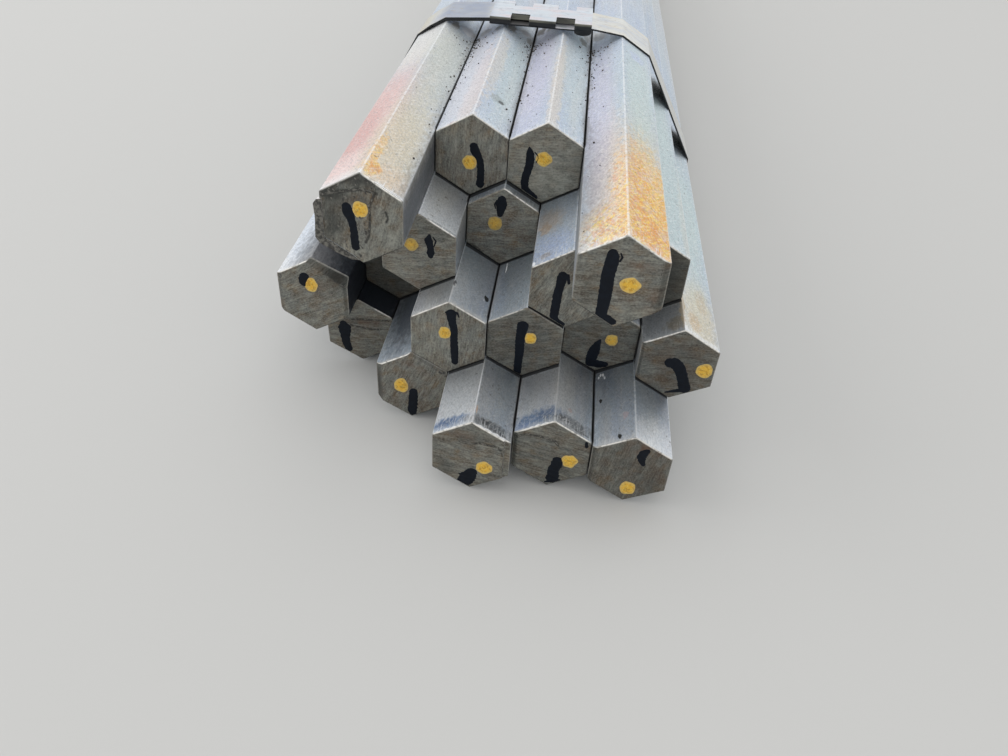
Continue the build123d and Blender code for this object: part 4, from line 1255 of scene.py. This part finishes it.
def drawn_steel(name):
    """The finish of one bar."""
    end = front_ends[name]
    finish, tree, shader = new_finish("cold_drawn_steel_" + name[4:])
    place = in_millimetres(tree, np.array([end.axis[0], end.depth(0, 0), end.axis[1]]) * PER_MM)
    shift = (BAR_SHIFT * bar_names.index(name)).tolist()
    own = add(tree, "VectorMath", {0: place, 1: shift}, operation="ADD")["Vector"]
    normal = add(tree, "NewGeometry", {})["Normal"]
    behind = add(tree, "VectorMath", {0: place, 1: -end.normal}, operation="DOT_PRODUCT")["Value"]
    parts = add(tree, "SeparateXYZ", {"Vector": place})
    level = add(tree, "CombineXYZ", {"X": parts["X"], "Z": parts["Z"]})["Vector"]
    from_axis = add(tree, "VectorMath", {0: level}, operation="LENGTH")["Value"]
    turned = add(tree, "SeparateXYZ", {"Vector": normal})
    facing = add(tree, "Math", {0: turned["Y"]}, operation="ABSOLUTE")["Value"]

    # Real die lines are finer than a tenth of a millimetre. These are coarser, so that they show.
    die_lines = patches(tree, own, (0.55, 60, 0.55), 0.3, 0.72)
    grain = patches(tree, own, (0.5, 1.0, 0.5), 0.36, 0.7)
    slants = [{"Vector": own, "Rotation": (0, 0, radians(turn))} for turn in (35, -28)]
    slanted = [add(tree, "Mapping", slant)["Vector"] for slant in slants]
    scratches, more_scratches = (patches(tree, way, (0.4, 3.5, 2), 0.54, 0.66) for way in slanted)
    yellow_flecks, orange_flecks = (patches(tree, way, (0.9, 3.6, 2.4), 0.48, 0.62) for way in slanted)
    edge = {"Value": patches(tree, own, (1.5, 3.2, 1.5), 0.25, 0.75), "To Min": -0.3, "To Max": 0.4}
    ragged = add(tree, "MapRange", edge)["Result"]
    corner = product(tree, between(tree, from_axis, *CORNER_FROM), patches(tree, own, (3, 1.8, 3), 0.3, 0.55))
    painted_contact_shadow, shade, valley_darkening = shelter(tree, name, level, parts["Y"], normal)
    valley_darkening = product(tree, valley_darkening, patches(tree, own, (2.2, 14, 2.2), 0.36, 0.62))
    near_cut = product(tree, between(tree, behind, 3.8, 0.4), between(tree, ragged, 0.5, -0.25))
    combed = product(tree, patches(tree, own, (0.4, 6, 0.4), 0.56, 0.64), between(tree, behind, 7, 2))
    plain_part = largest(tree, between(tree, behind, *PLAIN_FROM), between(tree, turned["Z"], 0.4, 0.2))
    spots, dull, rusty = spots_of(tree, name, place, ragged)

    colour = layered(tree, TOP_STEEL if "row1" in name else SHADED_LOWER_STEEL, [
        # Clouds and tints are as long as a hand's touch, and stretched along the bar by the drawing.
        (patches(tree, own, (22, 130, 22), 0.3, 0.72), 0.45, "#c9d3de"),
        (patches(tree, own, (9, 60, 9), 0.38, 0.75), 0.5, "#c0cfec"),
        (patches(tree, own, (7, 90, 7), 0.42, 0.78), 0.4, "#e4dcd4"),
        (plain_part, 0.7, PLAIN_STEEL),
        *spots["tint"],
        # Rust shows as flecks that cross each other, with paler steel between them.
        (product(tree, rusty, patches(tree, own, (4, 7, 4), 0.48, 0.62)), 0.5, "#ead6ca"),
        (product(tree, rusty, yellow_flecks), 0.85, "#ffe070"),
        (product(tree, rusty, orange_flecks), 0.5, "#e28434"),
        (die_lines, 0.08, "#a3abb2"),
        (grain, 0.3, "#8d9297"),
        (patches(tree, own, (0.7, 1.0, 0.7), 0.45, 0.75), 0.36, "#fbfcfd"),
        (scratches, 0.3, "#ffffff"),
        (more_scratches, 0.22, "#8f959b"),
        (patches(tree, own, (1.3, 1.9, 1.3), 0.66, 0.73), 0.5, "#57554f"),
        # Brighter corners: worn metal with a painted highlight.
        (corner, 0.55, "#f8fafc"),
        *spots["dust_and_glare"],
        # Painted shade in front of a neighbour's cut, and a brown darkening towards the valley.
        (shade, 0.32, "#3a4046"),
        (valley_darkening, 0.4, "#6f675b"),
        (near_cut, 0.5, "#f6f9fb"),
        *spots["small"],
        (combed, 0.6, "#f4f7fa"),
        (patches(tree, own, (0.8, 0.9, 0.8), 0.72, 0.77), 0.75, "#f4f7fa"),
        # Painted shade spots, then the black painted contact shadow where bars touch.
        *spots["shade"],
        (painted_contact_shadow, 0.96, "#111214"),
        (
            between(tree, facing, 0.3, 0.5), 1,
            layered(tree, END_DARK, [(patches(tree, own, 0.9, 0.4, 0.62), 1, END_LIGHT)]),
        ),
    ])

    dull = largest(tree, dull, product(tree, valley_darkening, 0.3), painted_contact_shadow)
    dull = add(tree, "Math", {0: dull, 1: DUST_FILM}, operation="ADD", use_clamp=True)["Value"]
    plain = add(tree, "Math", {0: 1.0, 1: dull}, operation="SUBTRACT")["Value"]
    smooth = add(tree, "MapRange", {"Value": die_lines, "To Min": 0.46, "To Max": 0.53})["Result"]
    rough = add(tree, "Math", {0: smooth, 1: product(tree, dull, 0.3)}, operation="ADD")["Value"]
    height = add(tree, "Math", {0: product(tree, die_lines, 0.5), 1: grain}, operation="ADD")["Value"]
    bump = add(tree, "Bump", {"Height": height, "Strength": 0.4, "Distance": 0.02 * MM})["Normal"]
    metallic = product(tree, plain, between(tree, facing, 0.5, 0.3))
    plug(tree, shader, {"Base Color": colour, "Metallic": metallic, "Roughness": rough, "Normal": bump})
    return finish


def wear(node, finish):
    """Gives a node of the bundle its finish."""
    for place in node.material_slots:
        place.link = "OBJECT"
        place.material = finish


for name in bar_names:
    wear(nodes[name], drawn_steel(name))
print("drawn steel on", len(bar_names), "bars")

# %% [markdown]
# Strapping is thin cold-rolled steel with a light waxed skin, brighter than the bars. It has faint
# rolling lines along its length, and the crimping tool and the bars' corners have scuffed it. Its
# slit edges, the folds of the seal and the flaps that the tool bent in are bare and oily, and their
# colour is painted dark as shade, darkest where they face down. The finish tells them from the flat
# faces by their normal, which points along the bundle there.

# %% Strapping steel
SEAL_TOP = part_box("seal_front")[1].z * PER_MM
# Where the notches of the seal are painted dark as shade: this far below its top, and left of this place
# across.
NOTCH_BELOW, NOTCH_RIGHT = (0.9, 1.6), (8, 6)
# Where the strap is bluish on the left of the seal, and where it is warmer beyond that.
LEFT_OF_SEAL, WARM_LEFT = ((-48, -38), (-17, -23)), (-42, -50)
# Painted shade colours for the edges, folds and notches, with black patches of oil on the edges.
BLACK_OIL_AND_SHADE, PAINTED_SHADE_GREY = "#16181d", "#2b2c2e"


def strapping_steel(name, base, cloud, tint, scuff, is_seal):
    """Waxed strip steel. The rolling lines run round the bundle, so the noise is only fine along
    the bars, which is the strip's width."""
    finish, tree, shader = new_finish(name)
    place = in_millimetres(tree)
    parts = add(tree, "SeparateXYZ", {"Vector": place})
    normal = add(tree, "SeparateXYZ", {"Vector": add(tree, "NewGeometry", {})["Normal"]})
    lengthwise = add(tree, "Math", {0: normal["Y"]}, operation="ABSOLUTE")["Value"]
    rolling = patches(tree, place, (30, 0.5, 30), 0.3, 0.7)
    clouds = patches(tree, place, (11, 9, 11), 0.36, 0.68)
    edge = between(tree, lengthwise, 0.15, 0.6)
    # The edges are painted dark as shade, darker where they face down, with black patches of oil.
    shaded_edge_colour = layered(tree, "#66665d", [
        (between(tree, normal["Z"], 0.5, -0.1), 1, PAINTED_SHADE_GREY),
        (patches(tree, place, (6, 3, 1.5), 0.4, 0.7), 0.6, BLACK_OIL_AND_SHADE),
    ])
    left_of_seal = product(tree, *(between(tree, parts["X"], *ends) for ends in LEFT_OF_SEAL))
    low = between(tree, parts["Z"], *(SEAL_TOP - below for below in NOTCH_BELOW))
    colour = layered(tree, base, [
        (clouds, 0.7, cloud),
        (patches(tree, place, (16, 5, 16), 0.42, 0.7), 0.6, tint),
        (left_of_seal, 0.7, "#8a99b8"),
        (between(tree, parts["X"], *WARM_LEFT), 0.4, "#e8dcb8"),
        (rolling, 0.25, "#b4b8bc"),
        (patches(tree, place, (3.0, 1.4, 3.0), 0.58, 0.7), 0.5, scuff),
        (patches(tree, place, 0.7, 0.66, 0.74), 0.5, "#6b655d"),
        # The low parts of the seal's notches are painted dark as shade.
        (product(tree, low, between(tree, parts["X"], *NOTCH_RIGHT)), is_seal, PAINTED_SHADE_GREY),
        (edge, 1, shaded_edge_colour),
    ])
    plug(tree, shader, {
        "Base Color": colour,
        "Metallic": add(tree, "MapRange", {"Value": edge, "To Min": 1.0, "To Max": 0.6})["Result"],
        "Roughness": add(tree, "MapRange", {"Value": clouds, "To Min": 0.28, "To Max": 0.42})["Result"],
        "Normal": add(tree, "Bump", {"Height": rolling, "Strength": 0.3, "Distance": 0.015 * MM})["Normal"],
    })
    return finish


strap_steel = strapping_steel("waxed_strapping_steel", "#eceeea", "#cfd6e2", "#efe9d6", "#b3a795", 0.0)
seal_steel = strapping_steel("crimped_seal_steel", "#e6eff8", "#f2e2e4", "#cfe4f2", "#a9aeb6", 0.9)
for name, node in nodes.items():
    if name not in bar_names:
        wear(node, strap_steel if name.startswith("strap_") else seal_steel)
print("strapping steel on", len(nodes) - len(bar_names), "straps and seals")

# %% [markdown]
# Dirt has gathered in the hollows between the bars of the top row, mostly just in front of the
# strap. It is made of crumbs: closed lumps of a few dozen faces whose points are pushed in and out.
# Each lies on one of the two sides that form its hollow, which rise from its lowest line at 30
# degrees. Half of the crumbs are close to that line, and the others are spread over the sides.

# %% Crumbs of dirt
CRUMBS = 520
CRUMB_RINGS, CRUMB_SIDES = 3, 6
CRUMB_SIZES, CRUMB_SHARES, LUMPS = (0.12, 0.5), (0.4, 1), (0.65, 1.15)
CRUMB_FLATNESS, CRUMB_LIFT = 0.7, 0.45
HOLLOW_RISE = 0.577
# The middle and spread of how far crumbs lie from the lowest line, and the furthest one.
NEAR_LINE, OVER_SIDES, FURTHEST = (0, 1.2), (1.5, 4.5), 10
NEAR_STRAP, ALONG_BARS, SHARE_NEAR_STRAP = 8.0, 42.0, 0.4
CUT_MARGIN = 2.0
chance = np.random.default_rng(11)
top_row = [front_ends[f"bar_row1_{place}"] for place in (1, 2, 3, 4)]
hollows = list(zip(top_row, top_row[1:]))
front_of_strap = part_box("strap_front")[0].y * PER_MM


def crumb(hollow):
    """A lump: rings of a sphere whose radius is pushed in and out, resting on the hollow's side. Its
    distance from the strap is an exponential one that stops short of the bar's saw cut: minus the
    mean times the logarithm of one less a share of what lies before the cut."""
    size = chance.uniform(*CRUMB_SIZES) * chance.uniform(*CRUMB_SHARES)
    scatter = NEAR_LINE if chance.random() < 0.5 else OVER_SIDES
    aside = np.clip(chance.normal(*scatter), -FURTHEST, FURTHEST)
    bar, inward = (hollow[0], -1) if aside < 0 else (hollow[1], 1)
    on_bar = np.array([inward * (abs(aside) - HALF_FLAT), VALLEY_UP + abs(aside) * HOLLOW_RISE])
    across, up = bar.axis * PER_MM + on_bar
    room = front_of_strap - bar.depth(*on_bar[:, None])[0] * PER_MM - CUT_MARGIN
    mean = NEAR_STRAP if chance.random() < SHARE_NEAR_STRAP else ALONG_BARS
    distance = -mean * np.log(1 - chance.random() * (1 - np.exp(-room / mean)))
    middle = np.array([across, front_of_strap - distance, up + size * CRUMB_LIFT])
    tilt = np.linspace(0, pi, CRUMB_RINGS + 2)[1:-1, None]
    turn = np.linspace(0, 2 * pi, CRUMB_SIDES, endpoint=False)
    radius = size * chance.uniform(*LUMPS, (CRUMB_RINGS, CRUMB_SIDES))
    beside, over = np.sin(tilt) * np.cos(turn), np.cos(tilt) * np.ones_like(turn)
    away = np.stack([beside, np.sin(tilt) * np.sin(turn), over * CRUMB_FLATNESS], axis=-1)
    rings = middle + radius[..., None] * away
    pole = np.array([0, 0, size * CRUMB_FLATNESS])
    return (middle + pole) * MM, rings * MM, (middle - pole) * MM, 0, {}


soil, tree, shader = new_finish("yard_dirt")
dry = patches(tree, in_millimetres(tree), 2, 0.4, 0.65)
plug(tree, shader, {"Base Color": layered(tree, "#2f2b27", [(dry, 1, "#5b5247")]), "Roughness": 0.95})
crumbs = [crumb(hollows[number % len(hollows)]) for number in range(CRUMBS)]
shell_piece("dirt_in_hollows", crumbs, [soil])
print(len(crumbs), "crumbs")
